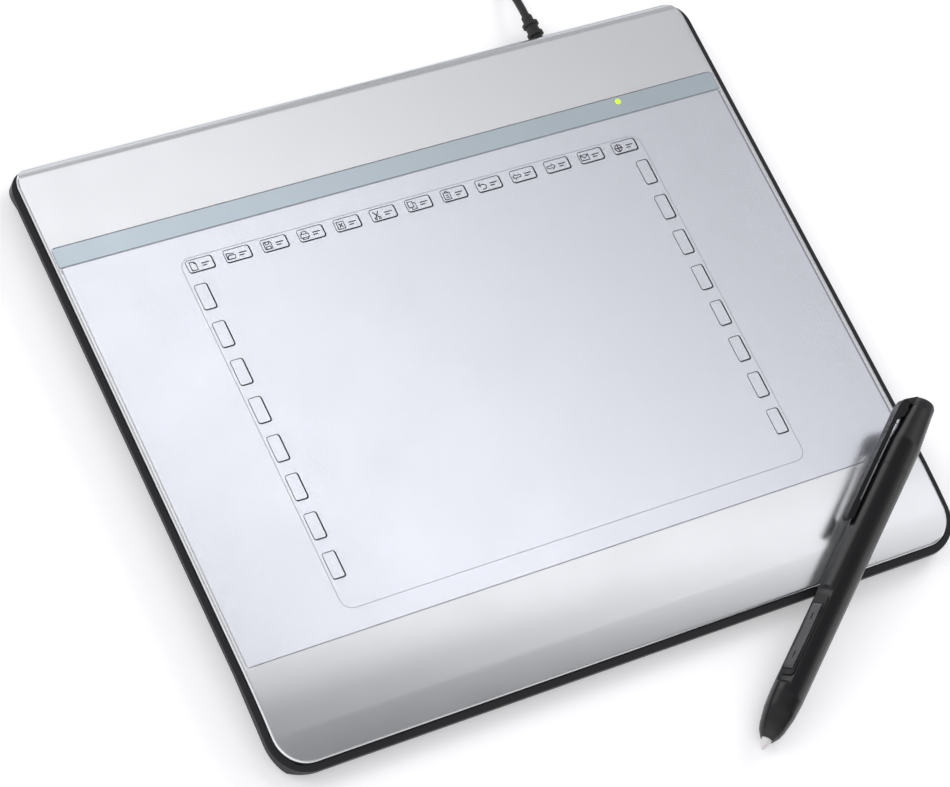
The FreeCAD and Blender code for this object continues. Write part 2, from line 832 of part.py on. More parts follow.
def make_controller():
    """The controller board and what is on it."""
    left, near = d.main_board_x, main_board_y
    under = floor_top + d.post_height
    top = under + d.main_board_thickness
    plate = block("main_board_plate", (left, left + d.main_board_width), (near, near + d.main_board_depth),
                  (under, top))
    holes = [stud(f"main_board_hole_{index}", d.board_screw_diameter / 2 + 0.1, 4, (x, y, under - 1))
             for index, (x, y) in enumerate(board_posts())]
    on_tablet("controller_board", cut("controller_board", plate, *holes))
    chips = []
    for index, (x, y, wide) in enumerate(((16, 9, 1.0), (31, 14, 0.7))):
        chips.append(block(f"chip_{index}", (left + x, left + x + d.chip_width * wide),
                           (near + y, near + y + d.chip_width * wide), (top, top + d.chip_height)))
    on_tablet("controller_chips", group("controller_chips", chips))
    crystal = new_body("crystal")
    drawing = sketch(crystal, "crystal_sketch", offset=top)
    half = d.crystal_width / 2
    end = half * 0.98
    round_plate(drawing, (left + 32, left + 32 + d.crystal_length), (near + 3, near + 3 + d.crystal_width), end, end)
    pad(crystal, drawing, d.crystal_height)
    on_tablet("crystal", crystal)
    small = []
    for index in range(6):
        x = left + 7 + 5 * index
        small.append(block(f"small_{index}", (x, x + 2.0), (near + 23.2, near + 24.5), (top, top + 0.9)))
    on_tablet("small_components", group("small_components", small))
    screws = []
    for index, (x, y) in enumerate(board_posts()):
        head = stud(f"board_screw_head_{index}", d.board_screw_head / 2, d.board_screw_head_height, (x, y, top))
        foot = d.foot_height + d.board_screw_floor
        shank = stud(f"board_screw_shank_{index}", d.board_screw_diameter / 2, top - foot, (x, y, foot))
        screws.append(fuse(f"board_screw_{index}", head, shank))
    on_tablet("board_screws", group("board_screws", screws))
    half = d.led_size / 2
    on_tablet("status_led", block("status_led", (d.light_x - half, d.light_x + half),
                                  (light_y - half, light_y + half), (top, top + d.led_height)))
    pipe = new_body("light_pipe")
    drawing = sketch(pipe, "pipe_sketch", "XZ_Plane")
    radius = d.pipe_diameter / 2
    collar = roof - 1
    start = top + d.led_height + 0.3
    outline(drawing, [(0, start), (radius, start), (radius, collar), (d.pipe_collar / 2, collar),
                      (d.pipe_collar / 2, roof), (radius, roof), (radius, d.top_height), (0, d.top_height)])
    turn(pipe, drawing)
    bind(pipe, "Placement.Base.x", d.light_x)
    node("light_pipe", pipe)
    bind(pipe, "Placement.Base.y", light_y + d.pen_reach / 2)


def make_ribbon():
    """The flat ribbon and its two sockets, from the grid board down to the controller."""
    board_under = roof - d.board_thickness
    main_top = floor_top + d.post_height + d.main_board_thickness
    upper = (sensor_back - d.socket_depth - 1, sensor_back - 1)
    lower = (main_board_y + 1.2, main_board_y + 1.2 + d.socket_depth)
    side = (d.ribbon_x, d.ribbon_x + d.ribbon_width)
    sockets = [block("socket_upper", side, upper, (board_under - d.socket_height, board_under)),
               block("socket_lower", side, lower, (main_top, main_top + d.socket_height))]
    on_tablet("ribbon_sockets", group("ribbon_sockets", sockets))
    ribbon = new_body("ribbon_cable")
    drawing = sketch(ribbon, "ribbon_sketch", "YZ_Plane", d.ribbon_x + 1)
    high = board_under - d.socket_height / 2
    low = main_top + d.socket_height / 2
    thick = d.ribbon_thickness
    outline(drawing, [(upper[1], high), (upper[1] + 2.4, high), (lower[0] - 2.2, low), (lower[0], low),
                      (lower[0], low - thick), (lower[0] - 2.4, low - thick), (upper[1] + 2.2, high - thick),
                      (upper[1], high - thick)])
    pad(ribbon, drawing, d.ribbon_width - 2)
    on_tablet("ribbon_cable", ribbon)


def make_screws_and_feet():
    """The case screws and the four rubber feet."""
    screws = []
    head_base = d.foot_height + d.counterbore_depth - d.screw_head_height
    for index, (x, y) in enumerate(screw_places()):
        head = stud(f"case_screw_head_{index}", d.screw_head_diameter / 2, d.screw_head_height, (x, y, head_base))
        shank = stud(f"case_screw_shank_{index}", d.screw_diameter / 2, d.screw_head_height + d.screw_length,
                     (x, y, head_base))
        screws.append(fuse(f"case_screw_{index}", head, shank))
    on_tablet("case_screws", group("case_screws", screws))
    names = ("foot_front_left", "foot_front_right", "foot_back_left", "foot_back_right")
    for name, (x, y) in zip(names, foot_places()):
        foot = new_body(name)
        drawing = sketch(foot, f"{name}_sketch", "XZ_Plane")
        radius = d.foot_diameter / 2
        outline(drawing, [(0, 0), (radius, 0), (radius, d.foot_height + d.foot_recess),
                          (0, d.foot_height + d.foot_recess)])
        turn(foot, drawing)
        bind(foot, "Placement.Base.x", x)
        node(name, foot)
        bind(foot, "Placement.Base.y", y + d.pen_reach / 2)


def relief_ends():
    """Return where the strain relief starts and ends, measured back from the tablet's middle."""
    start = half_depth - d.pit_depth_inset - d.anchor_thickness - d.outlet_fit
    end = half_depth + d.relief_gap + 2 * d.relief_flange_width + d.relief_waist_length + d.relief_tail
    return start, end


def make_strain_relief():
    """The rubber strain relief, the wires inside and their header."""
    start, end = relief_ends()
    relief = new_body("cable_grommet")
    drawing = sketch(relief, "relief_sketch", "XZ_Plane")
    anchor = start + d.anchor_thickness
    first = half_depth + d.relief_gap
    second = first + d.relief_flange_width + d.relief_waist_length
    last = second + d.relief_flange_width
    neck, flange, waist = d.relief_neck / 2, d.relief_flange / 2, d.relief_waist / 2
    outline(drawing, [(0, start), (d.anchor_diameter / 2, start), (d.anchor_diameter / 2, anchor), (neck, anchor),
                      (neck, first), (flange, first), (flange, first + d.relief_flange_width),
                      (waist, first + d.relief_flange_width), (waist, second), (flange, second), (flange, last),
                      (neck, last), (neck, end), (0, end)])
    turn(relief, drawing)
    relief.Placement = Placement(Vector(), TURN["Y"])
    bind_place(relief, d.cable_x, 0, cable_height)
    on_tablet("cable_grommet", relief)
    header_y = main_board_y + d.main_board_depth - d.header_depth - 1.5
    top = floor_top + d.post_height + d.main_board_thickness
    half = d.header_width / 2
    on_tablet("cable_header", block("cable_header", (d.cable_x - half, d.cable_x + half),
                                    (header_y, header_y + d.header_depth), (top, top + d.header_height)))
    leads = []
    for index in range(4):
        x = d.cable_x + (index - 1.5) * d.lead_pitch
        lead = doc.addObject("Part::Prism", f"lead_{index}")
        lead.Polygon = 6
        lead.Placement = Placement(Vector(), TURN["Y"])
        bind(lead, "Circumradius", d.lead_diameter / 2)
        bind(lead, "Height", start - header_y - d.header_depth)
        bind_place(lead, x, header_y + d.header_depth, cable_height)
        leads.append(lead)
    on_tablet("cable_leads", group("cable_leads", leads))


# The cable
def tangent_path(points):
    """Join straight runs by tangent arcs, each as large as its runs allow, and report the radii."""
    edges = []
    radii = []
    start = points[0]
    for before, here, after in zip(points, points[1:], points[2:]):
        inwards = (before - here).normalize()
        outwards = (after - here).normalize()
        angle = math.pi - inwards.getAngle(outwards)
        shorter = min((before - here).Length, (after - here).Length)
        setback = 0.45 * shorter
        radius = setback / math.tan(angle / 2)
        radii.append(radius)
        first = here + inwards * setback
        last = here + outwards * setback
        bisector = (inwards + outwards).normalize()
        middle = here + bisector * (radius / math.cos(angle / 2) - radius)
        edges.append(Part.LineSegment(start, first).toShape())
        edges.append(Part.Arc(first, middle, last).toShape())
        start = last
    edges.append(Part.LineSegment(start, points[-1]).toShape())
    return Part.Wire(edges), radii


def biarc(start, along, end, onward):
    """Return two arcs from start, setting out along one direction, to end, arriving along another."""
    chord = end - start
    sum_of_ways = along + onward
    square = sum_of_ways.dot(sum_of_ways) - 4
    cross = chord.dot(sum_of_ways)
    length = (-cross + math.sqrt(cross * cross - square * chord.dot(chord))) / square
    if length < 0:
        length = (-cross - math.sqrt(cross * cross - square * chord.dot(chord))) / square
    near = start + along * length
    far = end - onward * length
    middle = (near + far) * 0.5
    arcs = []
    for first, corner, last in ((start, near, middle), (middle, far, end)):
        inwards = (first - corner).normalize()
        outwards = (last - corner).normalize()
        angle = math.pi - inwards.getAngle(outwards)
        radius = length / math.tan(angle / 2)
        bisector = (inwards + outwards).normalize()
        arcs.append(Part.Arc(first, corner + bisector * (radius / math.cos(angle / 2) - radius), last).toShape())
    return arcs


COIL_LAYERS = 2
COIL_TURNS_A_LAYER = 3


def coil_point(turns, centre, radius, pitch, low):
    """Return a point of the coil: it spirals in and out again, and climbs where the spiral reverses."""
    phase = turns % (2 * COIL_TURNS_A_LAYER)
    inwards = min(phase, 2 * COIL_TURNS_A_LAYER - phase)
    reach = radius + pitch * (COIL_TURNS_A_LAYER / 2 - inwards)
    height = low
    for layer in range(1, COIL_LAYERS):
        progress = (turns - layer * COIL_TURNS_A_LAYER) * 2 + 0.5
        height += pitch * min(max(progress, 0.0), 1.0)
    angle = 2 * math.pi * turns
    return Vector(centre.x + reach * math.cos(angle), centre.y + reach * math.sin(angle), height)


def coil_way(turns, *shape):
    """Return the coil's direction at a point, level where the turns are level."""
    step = 1e-4
    total = COIL_LAYERS * COIL_TURNS_A_LAYER
    before = coil_point(max(turns - step, 0), *shape)
    after = coil_point(min(turns + step, total), *shape)
    return (after - before).normalize()


def hexagon(centre, way, radius):
    """Return a six-sided section with a corner underneath, square to the way."""
    side = way.cross(Vector(0, 0, 1)).normalize()
    up = side.cross(way).normalize()
    corners = []
    for index in range(7):
        angle = math.pi / 3 * (index + 0.5)
        corners.append(centre + side * (radius * math.cos(angle)) + up * (radius * math.sin(angle)))
    return Part.makePolygon(corners)


def cord_solid(name, path, way):
    """Sweep the cord's section along a path as one solid, and compare its volume."""
    radius = d.cable_diameter.value / 2
    first = path.Edges[0]
    section = hexagon(first.valueAt(first.FirstParameter), way, radius)
    shell = path.makePipeShell([section], True, False)
    feature = doc.addObject("Part::Feature", name)
    feature.Shape = Part.Solid(shell) if shell.ShapeType == "Shell" else shell
    expected = 1.5 * math.sqrt(3) * radius * radius * path.Length
    print(f"{name}: length {path.Length:.1f}, volume ratio {feature.Shape.Volume / expected:.4f}")
    return node(name, feature)


def free_stretch(name, points):
    """A stretch of the cord along its route, with its radii printed."""
    path, radii = tangent_path(points)
    cord_solid(name, path, (points[1] - points[0]).normalize())
    print(f"{name}: radii", [round(value, 1) for value in radii])


def make_cable():
    """The free stretch, the coil, the stretch to the plug, and the tie."""
    shift = d.pen_reach.value / 2
    radius = d.cable_diameter.value / 2
    behind = half_depth.value + shift
    x = d.cable_x.value
    exit_y = relief_ends()[1].value + shift
    pitch = d.coil_pitch.value
    reach = d.coil_middle_radius.value + pitch * COIL_TURNS_A_LAYER / 2
    centre = Vector(x - reach, behind + d.coil_behind.value, 0)
    high = cable_height.value
    straight = Vector(0, d.cable_diameter.value, 0)
    ahead = Vector(0, 1, 0)
    # The coil, whose ends run straight for one diameter
    shape = (centre, d.coil_middle_radius.value, pitch, radius)
    total = COIL_LAYERS * COIL_TURNS_A_LAYER
    first, last = coil_point(0, *shape), coil_point(total, *shape)
    edges = [Part.LineSegment(first - straight, first).toShape()]
    for step in range(2 * total):
        here, there = step / 2, (step + 1) / 2
        start_way = ahead if step == 0 else coil_way(here, *shape)
        end_way = ahead if step == 2 * total - 1 else coil_way(there, *shape)
        edges += biarc(coil_point(here, *shape), start_way, coil_point(there, *shape), end_way)
    edges.append(Part.LineSegment(last, last + straight).toShape())
    # The free stretch drops from the outlet to the desk and meets the coil
    start = first - straight
    free_stretch("usb_cable", [
        Vector(x, exit_y, high), Vector(x, exit_y + 7.5, high), Vector(x + 0.5, exit_y + 16.0, radius + 1.0),
        Vector(x - 0.1, exit_y + 25.0, radius), Vector(x - 0.5, exit_y + 38.0, radius),
        Vector(x + 0.3, exit_y + 52.0, radius), start - Vector(0, 6.5, 0), start])
    cord_solid("usb_cable_coil", Part.Wire(edges), ahead)
    samples = [coil_point(total * k / 1440, *shape) for k in range(1441)]
    apart = min((a - b).Length for i, a in enumerate(samples) for b in samples[i + 60:])
    print(f"usb_cable_coil: least gap to itself {apart - 2 * radius:.2f}")
    # From the coil's upper layer down to the plug
    plug = Vector(d.plug_x.value, behind + d.plug_behind.value, d.plug_height.value / 2)
    end = last + straight
    free_stretch("usb_cable_end", [
        end, end + Vector(0, 7.5, 0), end + Vector(2.6, 16.5, -0.6), end + Vector(9.2, 23.9, -1.2),
        plug - Vector(8.5, 0, 0), plug])
    make_tie(centre, pitch, radius)


def make_tie(centre, pitch, radius):
    """A flat tie round the bundle of turns, open underneath, where the bundle lies on the desk."""
    fit = d.tie_fit.value
    wall = d.tie_thickness.value
    middle = d.coil_middle_radius.value
    half = pitch * COIL_TURNS_A_LAYER / 2 + radius + fit
    inner = Part.makeBox(2 * half, d.tie_width.value + 2, (COIL_LAYERS - 1) * pitch + 2 * radius + 2 * fit,
                         Vector(centre.x - middle - half, centre.y - d.tie_width.value / 2 - 1, -fit))
    outer = Part.makeBox(2 * half + 2 * wall, d.tie_width.value,
                         (COIL_LAYERS - 1) * pitch + 2 * radius + 2 * fit + wall,
                         Vector(centre.x - middle - half - wall, centre.y - d.tie_width.value / 2, 0))
    tie = doc.addObject("Part::Feature", "cable_tie")
    tie.Shape = outer.cut(inner)
    node("cable_tie", tie)


def make_plug():
    """The plug's moulded body, metal shell, tongue and contacts, lying on the desk."""
    y = half_depth + d.plug_behind + d.pen_reach / 2
    z = d.plug_height / 2
    x = d.plug_x
    body = new_body("usb_plug_body")
    drawing = sketch(body, "plug_body_sketch", "YZ_Plane", x)
    half = d.plug_width / 2
    round_plate(drawing, (y - half, y + half), (0, d.plug_height), d.plug_round, d.plug_round)
    pad(body, drawing, d.plug_length)
    node("usb_plug_body", body)
    end = x + d.plug_length
    wall = d.shell_wall
    outer = block("plug_shell_outer", (end, end + d.shell_length), (y - d.shell_width / 2, y + d.shell_width / 2),
                  (z - d.shell_height / 2, z + d.shell_height / 2))
    inner = block("plug_shell_inner", (end - 1, end + d.shell_length + 1),
                  (y - d.shell_width / 2 + wall, y + d.shell_width / 2 - wall),
                  (z - d.shell_height / 2 + wall, z + d.shell_height / 2 - wall))
    windows = []
    for index, side in enumerate((-1, 1)):
        for level, height in enumerate((z + d.shell_height / 2 - 1, z - d.shell_height / 2 - 1)):
            middle = y + side * 2.9
            windows.append(block(f"plug_window_{index}_{level}", (end + 4.6, end + 6.9),
                                 (middle - 1.2, middle + 1.2), (height, height + 2)))
    node("usb_plug_shell", cut("usb_plug_shell", outer, inner, *windows))
    tongue_top = z + 0.1 + d.tongue_height
    side = d.shell_width / 2 - wall
    node("usb_plug_tongue", block("usb_plug_tongue", (end, end + d.shell_length - 0.6), (y - side, y + side),
                                  (tongue_top - d.tongue_height, tongue_top)))
    contacts = []
    for index in range(4):
        middle = y + (index - 1.5) * d.contact_pitch
        contacts.append(block(f"plug_contact_{index}", (end + 1, end + d.shell_length - 1.5),
                              (middle - d.contact_width / 2, middle + d.contact_width / 2),
                              (z + 0.1 - d.contact_thickness, z + 0.1)))
    node("usb_plug_contacts", group("usb_plug_contacts", contacts))


# The pen
def nose_outline():
    """Return the outer line of the pen's nose, from its mouth to the barrel's full radius."""
    shoulder = (d.nose_shoulder_radius, d.nose_shoulder)
    points = swell((d.nose_mouth_radius, d.nose_mouth), shoulder, d.nose_swell, 2)
    return points + swell(shoulder, (d.barrel_radius, d.nose_seam), d.nose_long_swell, 2)[1:]


def pen_frame():
    """Lay the pen with its nose a small gap above the desk and its barrel a small gap off the front rim."""
    heading = math.radians(d.pen_heading.value)
    ball = d.nib_ball.value
    ball_y = -(half_depth + d.pen_reach).value + ball
    rim_z = (d.top_height - d.rim_drop - palm_fall(half_depth)).value
    cover_z = (d.top_height - d.palm_drop).value
    clear = d.barrel_radius.value + d.pen_rim_gap.value
    lean = 0.0
    # The lean and the nib's height depend on each other, and settle in a few rounds
    for _ in range(30):
        lowest = max(radius.value * math.cos(lean) - (along.value - ball) * math.sin(lean)
                     for radius, along in nose_outline())
        height = lowest + d.pen_desk_gap.value
        steepest = 0.0
        for corner_y, corner_z in ((-half_depth.value, rim_z), (-cover_front.value, cover_z)):
            across, rise = corner_y - ball_y, corner_z - height
            steepest = max(steepest, math.atan2(rise, across) + math.asin(clear / math.hypot(across, rise)))
        lean = math.atan(math.tan(steepest) * math.sin(heading))
    turned = Rotation(Vector(0, 0, 1), math.degrees(heading))
    tilted = Rotation(Vector(0, 1, 0), 90 - math.degrees(lean))
    rolled = Rotation(Vector(0, 0, 1), d.pen_roll.value)
    rotation = turned.multiply(tilted).multiply(rolled)
    axis = rotation.multVec(Vector(0, 0, 1))
    centre = Vector(d.pen_x.value, ball_y + d.pen_reach.value / 2, height)
    return Placement(centre - axis * ball, rotation), math.degrees(lean)


PEN, PEN_LEAN = pen_frame()
cap_top = d.pen_length - d.crown_length
root_end = cap_top - d.clip_root_below
root_start = root_end - d.clip_root_length


def on_pen(name, item):
    """Record a piece of the pen, laid where the pen lies."""
    item.Placement = PEN
    return node(name, item)


def on_cap(name, item):
    """Record a piece that turns with the pen's cap, laid where the pen lies."""
    item.Placement = PEN.multiply(Placement(Vector(), Rotation(Vector(0, 0, 1), d.cap_turn.value)))
    return node(name, item)


def turned_piece(name, points, arcs=None):
    """A revolved body from a profile of radius and distance along the pen."""
    body = new_body(name)
    drawing = sketch(body, f"{name}_sketch", "XZ_Plane")
    outline(drawing, points, arcs)
    turn(body, drawing)
    return body


def make_nose():
    """The nose cone with its mouth, bore and spigot."""
    spigot = d.lower_bore - d.spigot_fit
    spigot_end = d.nose_seam + d.spigot_length
    mouth = d.nib_base_radius + d.nib_fit
    points = [(mouth, d.nose_mouth)] + nose_outline()
    points += [(spigot, d.nose_seam), (spigot, spigot_end), (d.nose_bore, spigot_end),
               (d.nose_bore, d.nose_bore_start), (mouth, d.nose_bore_start)]
    on_pen("nose_cone", turned_piece("nose_cone", points))


def make_nib():
    """The nib, with its ball tip, cone and shaft, and the slider behind it."""
    ball = d.nib_ball
    base = d.nose_mouth + 0.2
    points = [(0, 0), (ball * 0.45, ball * 0.07), (ball, ball), (d.nib_base_radius, base),
              (d.nib_base_radius, base + 1), (d.nib_shaft_radius, base + 1), (d.nib_shaft_radius, d.nib_shaft_end),
              (0, d.nib_shaft_end)]
    on_pen("pen_nib", turned_piece("pen_nib", points))
    start = d.nib_shaft_end - 2
    bore = d.nib_shaft_radius + 0.02
    points = [(bore, start), (d.holder_radius, start), (d.holder_radius, start + d.holder_length),
              (0, start + d.holder_length), (0, d.nib_shaft_end), (bore, d.nib_shaft_end)]
    on_pen("nib_holder", turned_piece("nib_holder", points))
    end = d.ferrite_start + d.ferrite_length
    inner = d.nib_shaft_radius + d.nib_fit
    points = [(inner, d.ferrite_start), (d.ferrite_radius, d.ferrite_start), (d.ferrite_radius, end - 0.4),
              (inner, end - 0.4)]
    on_pen("ferrite_core", turned_piece("ferrite_core", points))
    outer = d.ferrite_radius + d.coil_wall
    points = [(d.ferrite_radius, d.ferrite_start + 0.8), (outer, d.ferrite_start + 0.8), (outer, end - 1.2),
              (d.ferrite_radius, end - 1.2)]
    on_pen("antenna_coil", turned_piece("antenna_coil", points))
    sensor = start + d.holder_length + d.nib_travel + 0.3
    points = [(0, sensor), (d.nose_bore - 0.15, sensor), (d.nose_bore - 0.15, d.pen_board_start),
              (0, d.pen_board_start)]
    on_pen("pressure_sensor", turned_piece("pressure_sensor", points))


def make_barrel():
    """The barrel, with the flat recess of the side switch and the slot and sockets of its rocker."""
    points = [(d.lower_bore, d.nose_seam), (d.barrel_radius, d.nose_seam), (d.barrel_radius, d.cap_seam),
              (d.upper_bore, d.cap_seam), (d.upper_bore, d.bore_step), (d.lower_bore, d.bore_step)]
    barrel = turned_piece("pen_barrel", points)
    flat = d.barrel_radius - d.recess_depth
    out = d.barrel_radius + 2
    drawing = sketch(barrel, "recess_sketch", "XZ_Plane")
    run = d.recess_run
    depth = out - flat
    bend = (run * run + depth * depth) / (2 * depth)
    outline(drawing, [(flat, d.recess_start + run), (flat, d.recess_end - run), (out, d.recess_end),
                      (out, d.recess_start)], {1: (bend, 1), 3: (bend, 1)})
    pocket(barrel, drawing, 2 * d.barrel_radius)
    drawing = sketch(barrel, "rocker_slot_sketch", "XZ_Plane")
    half = d.rocker_length / 2 + d.rocker_gap
    outline(drawing, [(d.lower_bore / 2, d.rocker_middle - half), (out, d.rocker_middle - half),
                      (out, d.rocker_middle + half), (d.lower_bore / 2, d.rocker_middle + half)])
    pocket(barrel, drawing, d.rocker_width + 2 * d.rocker_gap)
    drawing = sketch(barrel, "rocker_pin_sketch", "XZ_Plane")
    ring(drawing, pin_height(), d.rocker_middle, d.rocker_pin + d.rocker_pin_fit)
    pocket(barrel, drawing, d.bezel_width + 0.1)
    on_pen("pen_barrel", barrel)


def pin_height():
    """Return how far the rocker's pin lies from the pen's axis."""
    return d.barrel_radius - d.recess_depth - d.rocker_pin - d.rocker_pin_fit - 0.1


def make_switch():
    """The bezel in the recess, the rocker, and the two switches on the board below it."""
    flat = d.barrel_radius - d.recess_depth
    slot_side = d.rocker_width / 2 + d.rocker_gap
    half = d.rocker_length / 2 + d.rocker_gap
    start = d.recess_start + d.recess_run + d.bezel_end_gap
    end = d.recess_end - d.recess_run - d.bezel_end_gap
    bezel = new_body("switch_bezel")
    drawing = sketch(bezel, "bezel_sketch", "YZ_Plane", flat)
    side = d.bezel_width / 2
    round_plate(drawing, (-side, side), (start, end), d.bezel_width * 0.3, d.bezel_width * 0.3)
    round_plate(drawing, (-slot_side, slot_side), (d.rocker_middle - half, d.rocker_middle + half),
                d.rocker_gap, d.rocker_gap)
    pad(bezel, drawing, d.bezel_thickness)
    on_pen("switch_bezel", bezel)
    rocker = new_body("rocker_button")
    drawing = sketch(rocker, "rocker_sketch", "XZ_Plane")
    top = d.barrel_radius + d.rocker_proud
    under = top - d.rocker_depth
    long_half = d.rocker_length / 2
    low, high = d.rocker_middle - long_half, d.rocker_middle + long_half
    dished = top - d.rocker_dish
    nub_end = d.pen_board_thickness + d.switch_height + d.plunger_height + d.nub_gap
    nubs = []
    for sign in (-1, 1):
        middle = d.rocker_middle + sign * d.switch_apart / 2
        nubs += [(under, middle - 0.9), (nub_end, middle - 0.6), (nub_end, middle + 0.6), (under, middle + 0.9)]
    points = [(under, low)] + nubs + [(under, high), (top - 0.5, high), (top, high - 1.2),
                                      (dished, d.rocker_middle + 3), (dished, d.rocker_middle - 3),
                                      (top, low + 1.2), (top - 0.5, low)]
    outline(drawing, points)
    pad(rocker, drawing, d.rocker_width, symmetric=True)
    drawing = sketch(rocker, "rocker_pins_sketch", "XZ_Plane")
    ring(drawing, pin_height(), d.rocker_middle, d.rocker_pin)
    pad(rocker, drawing, d.bezel_width - 0.3, symmetric=True)
    on_pen("rocker_button", rocker)
    half_board = d.pen_board_width / 2
    board = block("pen_board", (0, d.pen_board_thickness), (-half_board, half_board),
                  (d.pen_board_start, d.pen_board_end))
    on_pen("pen_circuit_board", group("pen_circuit_board", [board]))
    switches = []
    for index, sign in enumerate((-1, 1)):
        middle = d.rocker_middle + sign * d.switch_apart / 2
        low_side = d.switch_size / 2
        case = block(f"switch_case_{index}", (d.pen_board_thickness, d.pen_board_thickness + d.switch_height),
                     (-low_side, low_side), (middle - low_side, middle + low_side))
        plunger = rod(f"switch_plunger_{index}", d.plunger_radius, d.plunger_height + 0.2,
                      (d.pen_board_thickness + d.switch_height - 0.2, 0, middle), "X")
        switches.append(fuse(f"switch_{index}", case, plunger))
    on_pen("side_switches", group("side_switches", switches))


def make_battery():
    """The battery, the leaf spring below it and the contact plate in the cap."""
    end = d.battery_start + d.battery_length
    points = [(0, d.battery_start), (d.battery_radius, d.battery_start), (d.battery_radius, end),
              (d.battery_nub_radius, end), (d.battery_nub_radius, end + d.battery_nub_height),
              (0, end + d.battery_nub_height)]
    on_pen("battery", turned_piece("battery", points))
    spring = turned_piece("battery_spring", [(0, d.bore_step), (d.upper_bore - 0.1, d.bore_step),
                                             (d.upper_bore - 0.1, d.bore_step + d.spring_plate),
                                             (0, d.bore_step + d.spring_plate)])
    leaf = sketch(spring, "leaf_sketch", "XZ_Plane")
    base = d.bore_step + d.spring_plate
    tip = d.battery_start - 0.1
    outline(leaf, [(-3.4, base), (-3.0, base), (0.6, tip - 0.35), (2.2, tip - 0.9), (2.4, tip - 0.6),
                   (0.6, tip), (0.0, tip), (-3.4, base + 0.3)])
    pad(spring, leaf, 3, symmetric=True)
    on_pen("battery_spring", spring)
    bottom = end + d.battery_nub_height + 0.3
    plate = bottom + 1.0
    radius = d.contact_radius
    points = [(0, bottom), (1.5, bottom), (1.5, plate), (radius, plate), (radius, plate + d.contact_plate),
              (0, plate + d.contact_plate)]
    on_pen("battery_contact", turned_piece("battery_contact", points))


def make_cap():
    """The cap, with the slot of its clip, and the crown that closes it and caps the clip's end."""
    low = d.cap_seam + d.cap_gap
    spigot = d.cap_seam - d.cap_spigot_length
    crown = d.crown_spigot_radius + 0.1
    cavity = cap_top - d.crown_spigot - 0.2
    points = [(d.barrel_radius, low), (d.barrel_radius, d.cap_seam + d.cap_straight), (d.cap_top_radius, cap_top)]
    points += [(crown, cap_top), (crown, cavity), (d.cap_bore, cavity), (d.cap_bore, spigot),
               (d.cap_spigot_radius, spigot), (d.cap_spigot_radius, low)]
    cap = turned_piece("pen_cap", points)
    drawing = sketch(cap, "clip_slot_sketch", "XZ_Plane")
    fit = d.clip_fit
    near = d.clip_root_inner - fit
    outline(drawing, [(near, root_start - fit), (d.clip_outer, root_start - fit),
                      (d.clip_outer, root_end + fit), (near, root_end + fit)])
    pocket(cap, drawing, d.clip_width * 0.64 + 2 * fit)
    on_cap("pen_cap", cap)
    top = d.pen_length
    spigot = cap_top - d.crown_spigot
    points = [(0, spigot), (d.crown_spigot_radius, spigot), (d.crown_spigot_radius, cap_top)]
    points += [(d.cap_top_radius, cap_top), (d.crown_edge_radius, top - d.crown_edge_drop)]
    points += [(d.crown_face_radius, top), (0, top)]
    head = turned_piece("pen_crown", points)
    drawing = sketch(head, "crown_shoulder_sketch", "XZ_Plane")
    inside = d.crown_spigot_radius
    outline(drawing, [(inside, cap_top), (d.crown_shoulder, cap_top), (d.crown_face_radius, top), (inside, top)])
    pad(head, drawing, d.clip_width, symmetric=True)
    on_cap("pen_crown", head)


def make_clip():
    """The pocket clip: root in the cap's slot, web, long arm, bead at its end and two grooves along it."""
    clip = new_body("pen_clip")
    drawing = sketch(clip, "clip_sketch", "XZ_Plane")
    inner, outer = d.clip_inner, d.clip_outer
    bead = d.barrel_radius + d.clip_bead_gap
    end = cap_top - d.clip_length
    top = cap_top - d.clip_crown_gap
    points = [(d.clip_root_inner, root_start), (d.clip_root_outer, root_start)]
    points += [(inner, root_start - d.clip_gusset), (inner, end + d.clip_bead_length + 2.5)]
    points += [(bead, end + d.clip_bead_length), (bead, end + 1.2), (bead + 1.2, end), (outer - 0.8, end),
               (outer, end + 0.8)]
    points += [(outer, top - d.clip_chamfer), (outer - 0.8, top), (d.clip_root_outer, top),
               (d.clip_root_outer, root_end), (d.clip_root_inner, root_end)]
    outline(drawing, points)
    pad(clip, drawing, d.clip_width, symmetric=True)
    groove_length = d.clip_length - d.clip_crown_gap - d.clip_chamfer - 4
    for side in (-1, 1):
        drawing = sketch(clip, f"groove_{'left' if side < 0 else 'right'}_sketch", "XY_Plane", end + 2)
        middle = side * d.clip_width * 0.19
        near, far = outer - d.clip_groove_depth, outer + 1
        outline(drawing, [(near, middle), (far, middle - d.clip_groove), (far, middle + d.clip_groove)])
        pocket(clip, drawing, groove_length, symmetric=False, backwards=True)
    for side in (-1, 1):
        drawing = sketch(clip, f"root_{'left' if side < 0 else 'right'}_sketch", "XZ_Plane",
                         side * d.clip_width * 0.32 if side > 0 else -(d.clip_width * 0.32))
        near, far = d.clip_root_inner - 1, d.clip_root_outer
        outline(drawing, [(near, root_start - 2), (far, root_start - 2),
                          (far, root_end + 2), (near, root_end + 2)])
        pocket(clip, drawing, d.clip_width, symmetric=False, backwards=side > 0)
    on_cap("pen_clip", clip)


def check_document():
    """Stop if any object failed, or any sub-part is empty, open or not what it should be."""
    failed = [item.Label for item in doc.Objects if {"Invalid", "Error"} & set(item.State)]
    if failed:
        raise RuntimeError(f"failed objects: {failed}")
    for name, item in NODES:
        shape = item.Shape
        if shape.isNull() or not shape.isValid() or not shape.Solids:
            raise RuntimeError(f"{name} has no sound solid")
        if min(solid.Volume for solid in shape.Solids) <= 0:
            raise RuntimeError(f"{name} has an inside-out solid")


